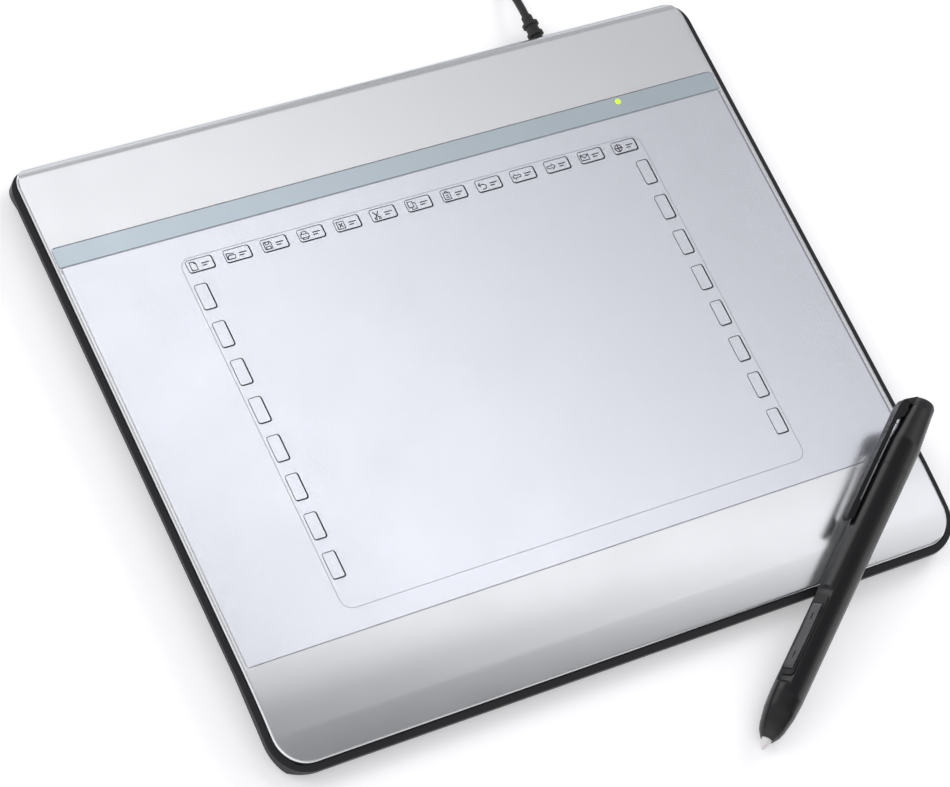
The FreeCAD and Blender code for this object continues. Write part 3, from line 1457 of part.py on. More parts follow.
def main():
    """Build every sub-part and write it."""
    make_bottom_case()
    make_top_cover()
    make_sheets()
    make_sensor_stack()
    make_controller()
    make_ribbon()
    make_screws_and_feet()
    make_strain_relief()
    make_cable()
    make_plug()
    make_nose()
    make_nib()
    make_barrel()
    make_switch()
    make_battery()
    make_cap()
    make_clip()
    doc.recompute()
    check_document()
    os.makedirs("parts", exist_ok=True)
    for name, item in NODES:
        item.Shape.exportStep(f"parts/{name}.step")
    print(f"{len(NODES)} sub-parts, pen lean {PEN_LEAN:.3f} degrees at {PEN.Base.z:.3f}")


main()
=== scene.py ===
"""A graphics tablet with its cable and battery pen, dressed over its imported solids."""

from __future__ import annotations

import json
import logging
import math
from contextlib import contextmanager
from dataclasses import dataclass, field
from enum import Enum
from typing import Any, Callable, ClassVar, Iterator, Sequence

import bpy
from mathutils import Matrix, Vector

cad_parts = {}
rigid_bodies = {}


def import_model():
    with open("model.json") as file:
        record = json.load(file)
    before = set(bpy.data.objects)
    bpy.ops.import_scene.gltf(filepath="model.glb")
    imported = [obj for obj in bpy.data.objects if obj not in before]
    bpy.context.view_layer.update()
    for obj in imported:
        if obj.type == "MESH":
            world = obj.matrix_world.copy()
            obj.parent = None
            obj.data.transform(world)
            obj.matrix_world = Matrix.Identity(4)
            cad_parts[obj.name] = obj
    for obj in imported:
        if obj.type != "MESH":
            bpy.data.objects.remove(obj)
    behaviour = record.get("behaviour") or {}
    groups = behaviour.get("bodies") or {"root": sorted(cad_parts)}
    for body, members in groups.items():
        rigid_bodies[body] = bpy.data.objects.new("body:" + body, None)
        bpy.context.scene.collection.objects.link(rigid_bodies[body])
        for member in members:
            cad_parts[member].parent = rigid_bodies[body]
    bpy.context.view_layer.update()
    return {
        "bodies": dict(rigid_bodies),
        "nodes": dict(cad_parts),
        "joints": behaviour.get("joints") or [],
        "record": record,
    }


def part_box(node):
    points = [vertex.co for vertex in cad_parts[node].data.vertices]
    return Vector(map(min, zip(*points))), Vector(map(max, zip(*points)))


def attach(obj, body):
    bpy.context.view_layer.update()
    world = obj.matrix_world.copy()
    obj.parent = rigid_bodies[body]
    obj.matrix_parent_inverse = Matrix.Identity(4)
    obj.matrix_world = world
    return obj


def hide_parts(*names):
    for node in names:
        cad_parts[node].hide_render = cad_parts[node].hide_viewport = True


LOG = logging.getLogger("graphics_tablet")
MM = 0.001
Colour = tuple[float, float, float]
Point = tuple[float, float, float]
Stops = tuple[tuple[float, float], ...]

WHITE = (1.0, 1.0, 1.0, 1.0)

# The slow noise's scale as a share of the fine grain's, and how much each of them shades
SLOW_SCALE = 0.011
FINE_SHADE = 0.45
SLOW_SHADE = 0.55
# How sharply a rubbed edge is marked, and the scale of the noise that breaks it up
RUB_SHARPNESS = 6.0
RUB_SCALE = 900.0
# How many rays the bevel nodes send out
BEVEL_SAMPLES = 4


# Operators and meshes
def deselect() -> None:
    """Leave nothing selected and nothing active."""
    bpy.ops.object.select_all(action="DESELECT")
    bpy.context.view_layer.objects.active = None


def activate(piece: bpy.types.Object) -> None:
    """Make one object the only selected and the active one."""
    deselect()
    piece.select_set(True)
    bpy.context.view_layer.objects.active = piece


@contextmanager
def editing(piece: bpy.types.Object, mode: str = "FACE") -> Iterator[None]:
    """Work on a mesh in edit mode with everything in it selected.

    Args:
        piece: The mesh object to edit.
        mode: VERT, EDGE or FACE selection.
    """
    activate(piece)
    bpy.ops.object.mode_set(mode="EDIT")
    bpy.ops.mesh.select_mode(type=mode)
    bpy.ops.mesh.select_all(action="SELECT")
    yield
    bpy.ops.object.mode_set(mode="OBJECT")


def settle(piece: bpy.types.Object) -> bpy.types.Object:
    """Put an object's place into its mesh, so that the object sits at the origin."""
    activate(piece)
    bpy.ops.object.transform_apply(location=True, rotation=True, scale=True)
    deselect()
    return piece


def finish_with(piece: bpy.types.Object, kind: str, **values: Any) -> bpy.types.Object:
    """Add a modifier with the given values and apply it."""
    activate(piece)
    modifier = piece.modifiers.new(kind.lower(), kind)
    for name, value in values.items():
        setattr(modifier, name, value)
    bpy.ops.object.modifier_apply(modifier=modifier.name)
    deselect()
    return piece


def joined(name: str, pieces: Sequence[bpy.types.Object]) -> bpy.types.Object:
    """Join several mesh objects into one named object."""
    deselect()
    for piece in pieces:
        piece.select_set(True)
    bpy.context.view_layer.objects.active = pieces[0]
    if len(pieces) > 1:
        bpy.ops.object.join()
    result = bpy.context.view_layer.objects.active
    result.name = name
    result.data.name = name
    return settle(result)


def copied(piece: bpy.types.Object, move: Vector) -> bpy.types.Object:
    """Copy an object with its own mesh, moved."""
    copy = piece.copy()
    copy.data = piece.data.copy()
    copy.location = piece.location + move
    bpy.context.scene.collection.objects.link(copy)
    return copy


def smooth(piece: bpy.types.Object, angle: float = 35.0) -> bpy.types.Object:
    """Shade a mesh smooth up to an angle in degrees."""
    activate(piece)
    bpy.ops.object.shade_smooth_by_angle(angle=math.radians(angle))
    deselect()
    return piece


# Node groups and finishes
class Graph:
    """A node tree with short calls for its nodes and links."""

    def __init__(self, tree: bpy.types.NodeTree) -> None:
        """Keep the tree."""
        self.tree = tree

    def add(self, kind: str, /, **values: Any) -> bpy.types.Node:
        """Add a node of a kind and set its properties."""
        made = self.tree.nodes.new(kind)
        for name, value in values.items():
            setattr(made, name, value)
        return made

    def link(self, source: Any, target: Any) -> None:
        """Link an output to an input, or set the input where the source is a plain value."""
        if isinstance(source, bpy.types.NodeSocket):
            self.tree.links.new(source, target)
        else:
            target.default_value = source

    def math(self, operation: str, *inputs: Any, clamp: bool = False) -> bpy.types.NodeSocket:
        """Add a Math node and return its output."""
        made = self.add("ShaderNodeMath", operation=operation, use_clamp=clamp)
        for source, target in zip(inputs, made.inputs):
            self.link(source, target)
        return made.outputs[0]

    def noise(self, vector: Any, scale: Any, detail: float = 3.0, rough: float = 0.5) -> bpy.types.NodeSocket:
        """Add a Noise Texture and return its factor."""
        made = self.add("ShaderNodeTexNoise")
        self.link(vector, made.inputs["Vector"])
        self.link(scale, made.inputs["Scale"])
        made.inputs["Detail"].default_value = detail
        made.inputs["Roughness"].default_value = rough
        return made.outputs["Fac"]

    def blend(self, share: Any, first: Any, second: Any) -> bpy.types.NodeSocket:
        """Mix two colours by a share and return the colour."""
        made = self.add("ShaderNodeMix", data_type="RGBA")
        # The node names its sockets alike for each type, so the colours' own are taken by number
        self.link(share, made.inputs[0])
        self.link(first, made.inputs[6])
        self.link(second, made.inputs[7])
        return made.outputs[2]

    def spread(self, value: Any, low: Any, high: Any) -> bpy.types.NodeSocket:
        """Map a value from 0 to 1 onto a range and return it."""
        made = self.add("ShaderNodeMapRange")
        self.link(value, made.inputs["Value"])
        self.link(low, made.inputs["To Min"])
        self.link(high, made.inputs["To Max"])
        return made.outputs["Result"]


def make_group(name: str, inputs: dict[str, tuple[str, float]], outputs: Sequence[str],
               build: Callable[[Graph, Any, Any], None]) -> bpy.types.NodeTree:
    """Make a shader node group once and return it.

    Args:
        name: The group's name.
        inputs: Socket names with their kinds and defaults.
        outputs: Names of float outputs.
        build: Adds the nodes between the group's inputs and outputs.

    Returns:
        The group's node tree.
    """
    if name in bpy.data.node_groups:
        return bpy.data.node_groups[name]
    tree = bpy.data.node_groups.new(name, "ShaderNodeTree")
    for socket, (kind, value) in inputs.items():
        made = tree.interface.new_socket(name=socket, in_out="INPUT", socket_type=f"NodeSocket{kind}")
        if kind == "Float":
            made.default_value = value
    for socket in outputs:
        tree.interface.new_socket(name=socket, in_out="OUTPUT", socket_type="NodeSocketFloat")
    graph = Graph(tree)
    build(graph, graph.add("NodeGroupInput").outputs, graph.add("NodeGroupOutput").inputs)
    return tree


def moulded_grain() -> bpy.types.NodeTree:
    """A moulded or painted surface: a fine grain, slow cloudiness and uneven gloss."""

    def build(graph: Graph, given: Any, out: Any) -> None:
        fine = graph.noise(given["Vector"], given["Scale"], detail=2.0, rough=0.6)
        slow_scale = graph.math("MULTIPLY", given["Scale"], SLOW_SCALE)
        slow = graph.noise(given["Vector"], slow_scale, detail=3.0, rough=0.55)
        graph.link(fine, out["Height"])
        shades = (graph.math("MULTIPLY", fine, FINE_SHADE), graph.math("MULTIPLY", slow, SLOW_SHADE))
        graph.link(graph.math("ADD", *shades), out["Shade"])
        uneven = graph.math("MULTIPLY", graph.math("SUBTRACT", slow, 0.5), given["Gloss swing"])
        graph.link(graph.math("ADD", given["Roughness"], uneven, clamp=True), out["Gloss"])

    return make_group("moulded_grain", {"Vector": ("Vector", 0.0), "Scale": ("Float", 4000.0),
                                        "Roughness": ("Float", 0.5), "Gloss swing": ("Float", 0.1)},
                      ["Height", "Shade", "Gloss"], build)


def rubbed_edges() -> bpy.types.NodeTree:
    """A mask of outer edges, broken up by a noise, where handling polishes a surface."""

    def build(graph: Graph, given: Any, out: Any) -> None:
        bevel = graph.add("ShaderNodeBevel", samples=BEVEL_SAMPLES)
        graph.link(given["Reach"], bevel.inputs["Radius"])
        facing = graph.add("ShaderNodeNewGeometry")
        turned = graph.add("ShaderNodeVectorMath", operation="DOT_PRODUCT")
        graph.link(bevel.outputs["Normal"], turned.inputs[0])
        graph.link(facing.outputs["Normal"], turned.inputs[1])
        away = graph.math("SUBTRACT", 1.0, turned.outputs["Value"])
        edge = graph.math("MULTIPLY", away, RUB_SHARPNESS, clamp=True)
        broken = graph.noise(given["Vector"], RUB_SCALE, detail=4.0, rough=0.6)
        amount = graph.math("MULTIPLY", broken, given["Amount"])
        graph.link(graph.math("MULTIPLY", edge, amount, clamp=True), out["Mask"])

    return make_group("rubbed_edges", {"Vector": ("Vector", 0.0), "Reach": ("Float", 0.0004),
                                       "Amount": ("Float", 0.5)}, ["Mask"], build)


def metal_flakes() -> bpy.types.NodeTree:
    """The fine flakes of a silver paint, as a value for each flake."""

    def build(graph: Graph, given: Any, out: Any) -> None:
        cells = graph.add("ShaderNodeTexVoronoi", feature="F1")
        graph.link(given["Vector"], cells.inputs["Vector"])
        graph.link(given["Scale"], cells.inputs["Scale"])
        split = graph.add("ShaderNodeSeparateColor")
        graph.link(cells.outputs["Color"], split.inputs[0])
        graph.link(split.outputs[0], out["Flake"])
        graph.link(split.outputs[1], out["Tilt"])

    return make_group("metal_flakes", {"Vector": ("Vector", 0.0), "Scale": ("Float", 9000.0)},
                      ["Flake", "Tilt"], build)


class Pattern(Enum):
    """What a finish shows besides its grain."""

    GRAIN = "grain"
    FLAKES = "flakes"
    RUBBED = "rubbed"
    CUT_FILM = "cut film"


@dataclass(frozen=True)
class Finish:
    """One finish: its colour, its gloss and the grain on it."""

    # What the patterns do to the colour, the gloss and the height
    FLAKE_LIGHTER: ClassVar[float] = 1.18
    FLAKE_FROM: ClassVar[float] = 0.72
    FLAKE_SHARE: ClassVar[float] = 0.5
    FLAKE_TILT: ClassVar[float] = 0.3
    WORN_LIGHTER: ClassVar[float] = 1.5
    WORN_LIFT: ClassVar[float] = 0.012
    WORN_GLOSS: ClassVar[float] = 0.12
    FILM_ALPHA: ClassVar[float] = 0.07
    CUT_ALPHA: ClassVar[float] = 0.25

    name: str
    colour: Colour
    roughness: float = 0.5
    metallic: float = 0.0
    grain: float = 4000.0
    depth: float = 0.00001
    gloss_swing: float = 0.12
    colour_swing: float = 0.08
    edge: float = 0.0
    pattern: Pattern = Pattern.GRAIN
    sockets: dict[str, Any] = field(default_factory=dict)

    def made(self) -> bpy.types.Material:
        """Build the material once and return it."""
        name = f"{self.name}_finish"
        if name in bpy.data.materials:
            return bpy.data.materials[name]
        material = bpy.data.materials.new(name)
        material.use_nodes = True
        graph = Graph(material.node_tree)
        shader = material.node_tree.nodes["Principled BSDF"]
        shader.inputs["Metallic"].default_value = self.metallic
        for socket, value in self.sockets.items():
            shader.inputs[socket].default_value = value
        place = graph.add("ShaderNodeTexCoord").outputs["Object"]
        surface = graph.add("ShaderNodeGroup", node_tree=moulded_grain())
        graph.link(place, surface.inputs["Vector"])
        surface.inputs["Scale"].default_value = self.grain
        surface.inputs["Roughness"].default_value = self.roughness
        surface.inputs["Gloss swing"].default_value = self.gloss_swing
        gloss = surface.outputs["Gloss"]
        dark = tuple(c * (1 - self.colour_swing) for c in self.colour) + (1.0,)
        light = tuple(min(c * (1 + self.colour_swing), 1.0) for c in self.colour) + (1.0,)
        colour = graph.blend(surface.outputs["Shade"], dark, light)
        height = surface.outputs["Height"]
        if self.pattern is Pattern.FLAKES:
            flakes = graph.add("ShaderNodeGroup", node_tree=metal_flakes())
            graph.link(place, flakes.inputs["Vector"])
            bright = tuple(min(c * self.FLAKE_LIGHTER, 1.0) for c in self.colour) + (1.0,)
            lit = graph.math("GREATER_THAN", flakes.outputs["Flake"], self.FLAKE_FROM)
            colour = graph.blend(graph.math("MULTIPLY", lit, self.FLAKE_SHARE), colour, bright)
            height = graph.math("ADD", height, graph.math("MULTIPLY", flakes.outputs["Tilt"], self.FLAKE_TILT))
        if self.pattern is Pattern.RUBBED:
            rubbed = graph.add("ShaderNodeGroup", node_tree=rubbed_edges())
            graph.link(place, rubbed.inputs["Vector"])
            worn = tuple(min(c * self.WORN_LIGHTER + self.WORN_LIFT, 1.0) for c in self.colour) + (1.0,)
            colour = graph.blend(rubbed.outputs["Mask"], colour, worn)
            polish = graph.math("MULTIPLY", rubbed.outputs["Mask"], self.WORN_GLOSS)
            gloss = graph.math("SUBTRACT", gloss, polish, clamp=True)
        if self.pattern is Pattern.CUT_FILM:
            graph.link(self.film_alpha(graph, place), shader.inputs["Alpha"])
        bump = graph.add("ShaderNodeBump")
        bump.inputs["Distance"].default_value = self.depth
        if self.edge:
            softened = graph.add("ShaderNodeBevel", samples=BEVEL_SAMPLES)
            softened.inputs["Radius"].default_value = self.edge
            graph.link(softened.outputs["Normal"], bump.inputs["Normal"])
        graph.link(height, bump.inputs["Height"])
        graph.link(colour, shader.inputs["Base Color"])
        graph.link(gloss, shader.inputs["Roughness"])
        graph.link(bump.outputs["Normal"], shader.inputs["Normal"])
        return material

    def film_alpha(self, graph: Graph, place: Any) -> bpy.types.NodeSocket:
        """Return the alpha of a clear film, which shows at its cut edges.

        Args:
            graph: The material's nodes.
            place: The object coordinates.

        Returns:
            The alpha over the film.
        """
        low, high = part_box("overlay_sheet")
        split = graph.add("ShaderNodeSeparateXYZ")
        graph.link(place, split.inputs[0])
        sides = []
        for axis in (0, 1):
            middle, half = (high[axis] + low[axis]) / 2, (high[axis] - low[axis]) / 2
            away = graph.math("ABSOLUTE", graph.math("SUBTRACT", split.outputs[axis], middle))
            sides.append(graph.math("GREATER_THAN", away, half - self.edge))
        return graph.math("MULTIPLY_ADD", graph.math("MAXIMUM", *sides), self.CUT_ALPHA, self.FILM_ALPHA)

    def on(self, piece: bpy.types.Object) -> bpy.types.Object:
        """Give this finish to a piece, in every material slot."""
        piece.data.materials.clear()
        piece.data.materials.append(self.made())
        return piece


# The finishes of the record's slots and of the print, by name
FINISHES = {finish.name: finish for finish in (
    Finish("case_black", (0.020, 0.020, 0.022), 0.42, grain=2600.0, depth=0.00002, edge=0.0003,
           pattern=Pattern.RUBBED, sockets={"Specular IOR Level": 0.25}),
    Finish("cover_silver", (0.80, 0.81, 0.83), 0.24, 0.97, pattern=Pattern.FLAKES, colour_swing=0.02,
           gloss_swing=0.04, depth=0.0000015, edge=0.0003, sockets={"Specular Tint": (0.30, 0.33, 0.38, 1.0)}),
    Finish("band_grey", (0.47, 0.54, 0.59), 0.20, 0.6, colour_swing=0.04, gloss_swing=0.08, depth=0.000004),
    Finish("light_green", (0.46, 0.80, 0.03), 0.25, colour_swing=0.05,
           sockets={"Emission Color": (0.46, 0.80, 0.03, 1.0), "Emission Strength": 0.7}),
    Finish("sheet_lavender", (0.90, 0.92, 0.985), 0.22, 0.94, colour_swing=0.012, gloss_swing=0.04, depth=0.000002),
    Finish("film_clear", (0.36, 0.37, 0.41), 0.20, colour_swing=0.01, gloss_swing=0.04, depth=0.000002, edge=0.0003,
           pattern=Pattern.CUT_FILM),
    Finish("rubber_black", (0.016, 0.016, 0.016), 0.55, grain=2200.0, depth=0.00003, edge=0.0002),
    Finish("rubber_grey", (0.19, 0.19, 0.20), 0.75, grain=1800.0, depth=0.00005),
    Finish("cord_black", (0.014, 0.014, 0.015), 0.46, grain=2400.0, depth=0.00002),
    Finish("tie_black", (0.02, 0.02, 0.021), 0.7, grain=1500.0, depth=0.00006, edge=0.0002),
    Finish("plug_black", (0.018, 0.018, 0.019), 0.5, grain=2200.0, depth=0.00004, edge=0.0004,
           pattern=Pattern.RUBBED),
    Finish("plug_steel", (0.62, 0.62, 0.63), 0.24, 1.0, colour_swing=0.05),
    Finish("tongue_white", (0.78, 0.78, 0.76), 0.45),
    Finish("contact_gold", (0.84, 0.62, 0.25), 0.22, 1.0),
    Finish("contact_steel", (0.60, 0.60, 0.60), 0.30, 1.0),
    Finish("board_green", (0.02, 0.14, 0.06), 0.4, grain=1600.0, depth=0.00002, colour_swing=0.2),
    Finish("film_amber", (0.62, 0.30, 0.05), 0.3, colour_swing=0.05),
    Finish("shield_steel", (0.55, 0.56, 0.58), 0.38, 1.0, colour_swing=0.06),
    Finish("chip_black", (0.02, 0.02, 0.022), 0.55),
    Finish("chip_tan", (0.45, 0.32, 0.18), 0.5),
    Finish("crystal_steel", (0.64, 0.64, 0.66), 0.22, 1.0),
    Finish("led_white", (0.80, 0.80, 0.78), 0.4),
    Finish("socket_white", (0.75, 0.74, 0.70), 0.5),
    Finish("lead_red", (0.45, 0.03, 0.02), 0.45),
    Finish("ribbon_white", (0.72, 0.72, 0.70), 0.45),
    Finish("screw_steel", (0.40, 0.41, 0.43), 0.3, 1.0, pattern=Pattern.RUBBED),
    Finish("pen_black", (0.006, 0.006, 0.007), 0.24, grain=3600.0, depth=0.000003, edge=0.0002, gloss_swing=0.04,
           pattern=Pattern.RUBBED, sockets={"Specular IOR Level": 0.5}),
    Finish("bezel_grey", (0.006, 0.006, 0.007), 0.26, edge=0.0002, sockets={"Specular IOR Level": 0.3}),
    Finish("button_grey", (0.060, 0.060, 0.066), 0.34, edge=0.0003, pattern=Pattern.RUBBED),
    Finish("nib_white", (0.74, 0.74, 0.73), 0.32, sockets={"Subsurface Weight": 0.25, "Subsurface Scale": 0.001}),
    Finish("crown_grey", (0.014, 0.014, 0.016), 0.30, edge=0.0006, pattern=Pattern.RUBBED,
           sockets={"Specular IOR Level": 0.4}),
    Finish("clip_grey", (0.006, 0.006, 0.007), 0.24, edge=0.0003, pattern=Pattern.RUBBED,
           sockets={"Specular IOR Level": 0.4}),
    Finish("ferrite_grey", (0.10, 0.10, 0.105), 0.6),
    Finish("coil_copper", (0.72, 0.33, 0.17), 0.3, 1.0, grain=2500.0, depth=0.00003),
    Finish("battery_sleeve", (0.12, 0.13, 0.15), 0.3, 0.3),
    Finish("print_ink", (0.004, 0.005, 0.008), 0.6, colour_swing=0.05, sockets={"Specular IOR Level": 0.1}),
    Finish("print_line", (0.30, 0.31, 0.36), 0.5, colour_swing=0.05),
    Finish("joint_shadow", (0.02, 0.022, 0.028), 0.7, colour_swing=0.05),
    Finish("button_mark", (0.004, 0.004, 0.004), 0.6),
)}


class Place(Enum):
    """The bodies that pieces ride on."""

    TABLET = "tablet"
    OVERLAY = "overlay"
    PEN = "pen"
    NIB = "nib"
    ROCKER = "rocker"
    CAP = "cap"
    CLIP = "clip"


def dress(piece: bpy.types.Object, slot: str, body: Place) -> bpy.types.Object:
    """Dress a new piece, let it ride on its body and log it."""
    FINISHES[slot].on(piece)
    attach(piece, body.value)
    LOG.info("%s rides on %s in %s", piece.name, body.value, slot)
    return piece


# The camera and the studio
@dataclass
class Studio:
    """The camera at the photograph's angle, a pale floor and soft light.

    The sky that mirrors see is graded, so that the silver has the photograph's fall of light.
    """

    back_shift: float = 0.0238
    eye: Point = (-0.67225, -0.43584, 1.19887)
    right: Point = (0.84767186, -0.42541104, 0.31698244)
    up: Point = (0.26038328, 0.85419092, 0.45006491)
    ahead: Point = (0.4622261, 0.29897043, -0.83484352)
    focal_pixels: float = 3840.35
    width_pixels: float = 950.0
    sensor: float = 36.0
    clip_end: float = 50.0
    floor_size: float = 14.0
    floor_drop: float = 0.05
    floor_colour: Colour = (0.86, 0.86, 0.87)
    floor_roughness: float = 0.9
    floor_gloss: float = 0.1
    floor_glow: float = 0.28
    # The sky's level by its place along the gleam's direction
    gleam_across: float = 0.857
    gleam_back: float = 0.514
    gleam: Stops = ((0.0, 0.55), (0.55, 0.24), (0.65, 0.05), (0.714, 0.05), (0.731, 0.40), (0.744, 1.0),
                    (0.760, 1.0), (0.784, 0.38), (0.81, 0.20), (0.90, 0.20), (1.0, 0.34))
    gleam_blue: float = 1.02
    # A low window behind the tablet, by the cosine of the angle from its middle
    window: Point = (-0.052, 0.964, 0.259)
    window_edge: float = 0.88
    window_full: float = 0.97
    window_share: float = 0.8
    studio_level: float = 2.12
    # The lamps' places, sizes and powers
    key_lamp: tuple[Point, float, float] = ((1.9, 0.9, 0.95), 0.9, 20.0)
    side_lamp: tuple[Point, float, float] = ((-1.6, 0.9, 1.5), 1.0, 9.0)

    def make_camera(self) -> None:
        """Stand the camera where the photograph was taken from."""
        data = bpy.data.cameras.new("photo_camera")
        data.sensor_width = self.sensor
        data.lens = self.focal_pixels * self.sensor / self.width_pixels
        data.clip_end = self.clip_end
        camera = bpy.data.objects.new("photo_camera", data)
        bpy.context.scene.collection.objects.link(camera)
        turn = Matrix((self.right, self.up, tuple(-c for c in self.ahead))).transposed().to_4x4()
        camera.matrix_world = Matrix.Translation(Vector(self.eye) + Vector((0, self.back_shift, 0))) @ turn
        bpy.context.scene.camera = camera

    def seen_directly(self, graph: Graph) -> bpy.types.NodeSocket:
        """Return 1 for rays from the camera, a mirror or a glass, and 0 for the light's own."""
        path = graph.add("ShaderNodeLightPath").outputs
        either = graph.math("MAXIMUM", path["Is Camera Ray"], path["Is Glossy Ray"])
        return graph.math("MAXIMUM", either, path["Is Transmission Ray"])

    def make_floor(self) -> None:
        """A large pale floor that goes to white where it is seen."""
        deselect()
        bpy.ops.mesh.primitive_plane_add(size=self.floor_size, location=(0, 0, -self.floor_drop * MM))
        floor = bpy.context.active_object
        floor.name = "floor"
        material = bpy.data.materials.new("floor_paper")
        material.use_nodes = True
        graph = Graph(material.node_tree)
        shader = material.node_tree.nodes["Principled BSDF"]
        shader.inputs["Base Color"].default_value = (*self.floor_colour, 1.0)
        shader.inputs["Roughness"].default_value = self.floor_roughness
        shader.inputs["Specular IOR Level"].default_value = self.floor_gloss
        shader.inputs["Emission Color"].default_value = WHITE
        glow = graph.math("MULTIPLY", self.seen_directly(graph), self.floor_glow)
        graph.link(glow, shader.inputs["Emission Strength"])
        floor.data.materials.append(material)
        settle(floor)

    def make_world(self) -> None:
        """A soft sky with one bright band and a low window, and white where the camera sees it."""
        world = bpy.data.worlds.new("studio")
        world.use_nodes = True
        graph = Graph(world.node_tree)
        direction = graph.add("ShaderNodeTexCoord").outputs["Generated"]
        split = graph.add("ShaderNodeSeparateXYZ")
        graph.link(direction, split.inputs[0])
        ramp = graph.add("ShaderNodeValToRGB")
        ramp.color_ramp.interpolation = "EASE"
        stops = ramp.color_ramp.elements
        for index, (place, level) in enumerate(self.gleam):
            # A new ramp comes with two stops
            stop = stops[index] if index < 2 else stops.new(place)
            stop.position = place
            stop.color = (level, level, level * self.gleam_blue, 1.0)
        across = graph.math("MULTIPLY", split.outputs["X"], self.gleam_across)
        reach = graph.math("MULTIPLY_ADD", split.outputs["Y"], self.gleam_back, across)
        graph.link(graph.math("MULTIPLY_ADD", reach, 0.5, 0.5), ramp.inputs[0])
        # The window puts the long highlight on the pen
        towards = graph.add("ShaderNodeVectorMath", operation="DOT_PRODUCT")
        graph.link(direction, towards.inputs[0])
        graph.link(self.window, towards.inputs[1])
        window = graph.spread(towards.outputs["Value"], 0.0, self.window_share)
        window.node.interpolation_type = "SMOOTHSTEP"
        window.node.inputs["From Min"].default_value = self.window_edge
        window.node.inputs["From Max"].default_value = self.window_full
        sky = graph.blend(window, ramp.outputs["Color"], WHITE)
        path = graph.add("ShaderNodeLightPath").outputs
        direct = graph.math("MAXIMUM", path["Is Camera Ray"], path["Is Transmission Ray"])
        background = world.node_tree.nodes["Background"]
        graph.link(graph.blend(direct, sky, WHITE), background.inputs["Color"])
        graph.link(graph.spread(direct, self.studio_level, 1.0), background.inputs["Strength"])
        bpy.context.scene.world = world

    def make_lamp(self, name: str, place: Point, size: float, power: float) -> None:
        """Add a square soft lamp that points at the tablet and that mirrors don't show."""
        data = bpy.data.lights.new(name, "AREA")
        data.size = size
        data.energy = power
        lamp = bpy.data.objects.new(name, data)
        bpy.context.scene.collection.objects.link(lamp)
        lamp.visible_glossy = False
        lamp.location = place
        lamp.rotation_euler = (-Vector(place)).to_track_quat("-Z", "Y").to_euler()

    def build(self) -> None:
        """Make the floor, the world and the lamps, and set the view."""
        self.make_floor()
        self.make_world()
        self.make_lamp("key_lamp", *self.key_lamp)
        self.make_lamp("side_lamp", *self.side_lamp)
        bpy.context.scene.view_settings.view_transform = "Standard"


# The cable
@dataclass
class Cable:
    """The cord from the tablet's back to its plug, with the length put away in a tied coil."""

    x: float = 85.0
    exit_y: float = 160.1
    radius: float = 1.6
    leave_height: float = 5.5
    coil_reach: float = 41.55
    coil_middle: float = 36.0
    coil_y: float = 237.0
    pitch: float = 3.7
    turns_a_layer: int = 3
    layers: int = 2
    points_a_turn: int = 16
    round_segments: int = 4
    spline_order: int = 3
    straight: float = 3.2
    plug: Point = (113.0, 267.5, 3.9)
    length: float = 1.483

    def free_points(self) -> list[Point]:
        """The points from the outlet down to the desk and on to the coil."""
        x, y, r = self.x, self.exit_y, self.radius
        return [(x, y, self.leave_height), (x, y + 7.5, self.leave_height), (x + 0.5, y + 16.0, r + 1.0),
                (x - 0.1, y + 25.0, r), (x - 0.5, y + 38.0, r), (x + 0.3, y + 52.0, r)]

    def coil_points(self) -> list[Point]:
        """The turns, which spiral in below and out again above."""
        total = self.turns_a_layer * self.layers
        count = total * self.points_a_turn
        # A smooth spline lies inside its points by this share
        inside = 0.75 + 0.25 * math.cos(2 * math.pi / self.points_a_turn)
        points = []
        for index in range(count + 1):
            turns = index / self.points_a_turn
            inwards = min(turns, total - turns)
            reach = self.coil_middle + self.pitch * (self.turns_a_layer / 2 - inwards)
            climb = min(max((turns - self.turns_a_layer) * 2 + 0.5, 0.0), 1.0)
            angle = 2 * math.pi * turns
            away = 1 if index in (0, count) else 1 / inside
            points.append((self.x - self.coil_reach + reach * away * math.cos(angle),
                           self.coil_y + reach * away * math.sin(angle), self.radius + self.pitch * climb))
        return points

    def end_points(self) -> list[Point]:
        """The points from the coil's upper layer down to the plug."""
        x, y, z = self.x, self.coil_y + self.straight, self.radius + self.pitch
        return [(x, y + 7.5, z), (x + 2.6, y + 16.5, z - 0.6), (x + 9.2, y + 23.9, z - 1.2),
                (self.plug[0] - 8.5, self.plug[1], self.plug[2]), self.plug]

    def build(self) -> bpy.types.Object:
        points = self.free_points() + self.coil_points() + self.end_points()
        curve = bpy.data.curves.new("cable", "CURVE")
        curve.dimensions = "3D"
        curve.bevel_depth = self.radius * MM
        curve.bevel_resolution = self.round_segments
        curve.resolution_u = self.round_segments
        curve.use_fill_caps = True
        spline = curve.splines.new("NURBS")
        spline.points.add(len(points) - 1)
        for place, point in zip(points, spline.points):
            point.co = (*(c * MM for c in place), 1.0)
        spline.order_u = self.spline_order
        spline.use_endpoint_u = True
        cord = bpy.data.objects.new("cable", curve)
        bpy.context.scene.collection.objects.link(cord)
        dress(cord, "cord_black", Place.TABLET)
        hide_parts("usb_cable", "usb_cable_coil", "usb_cable_end")
        return cord


# The print on the work sheet
Lines = tuple[tuple[tuple[float, float], ...], ...]


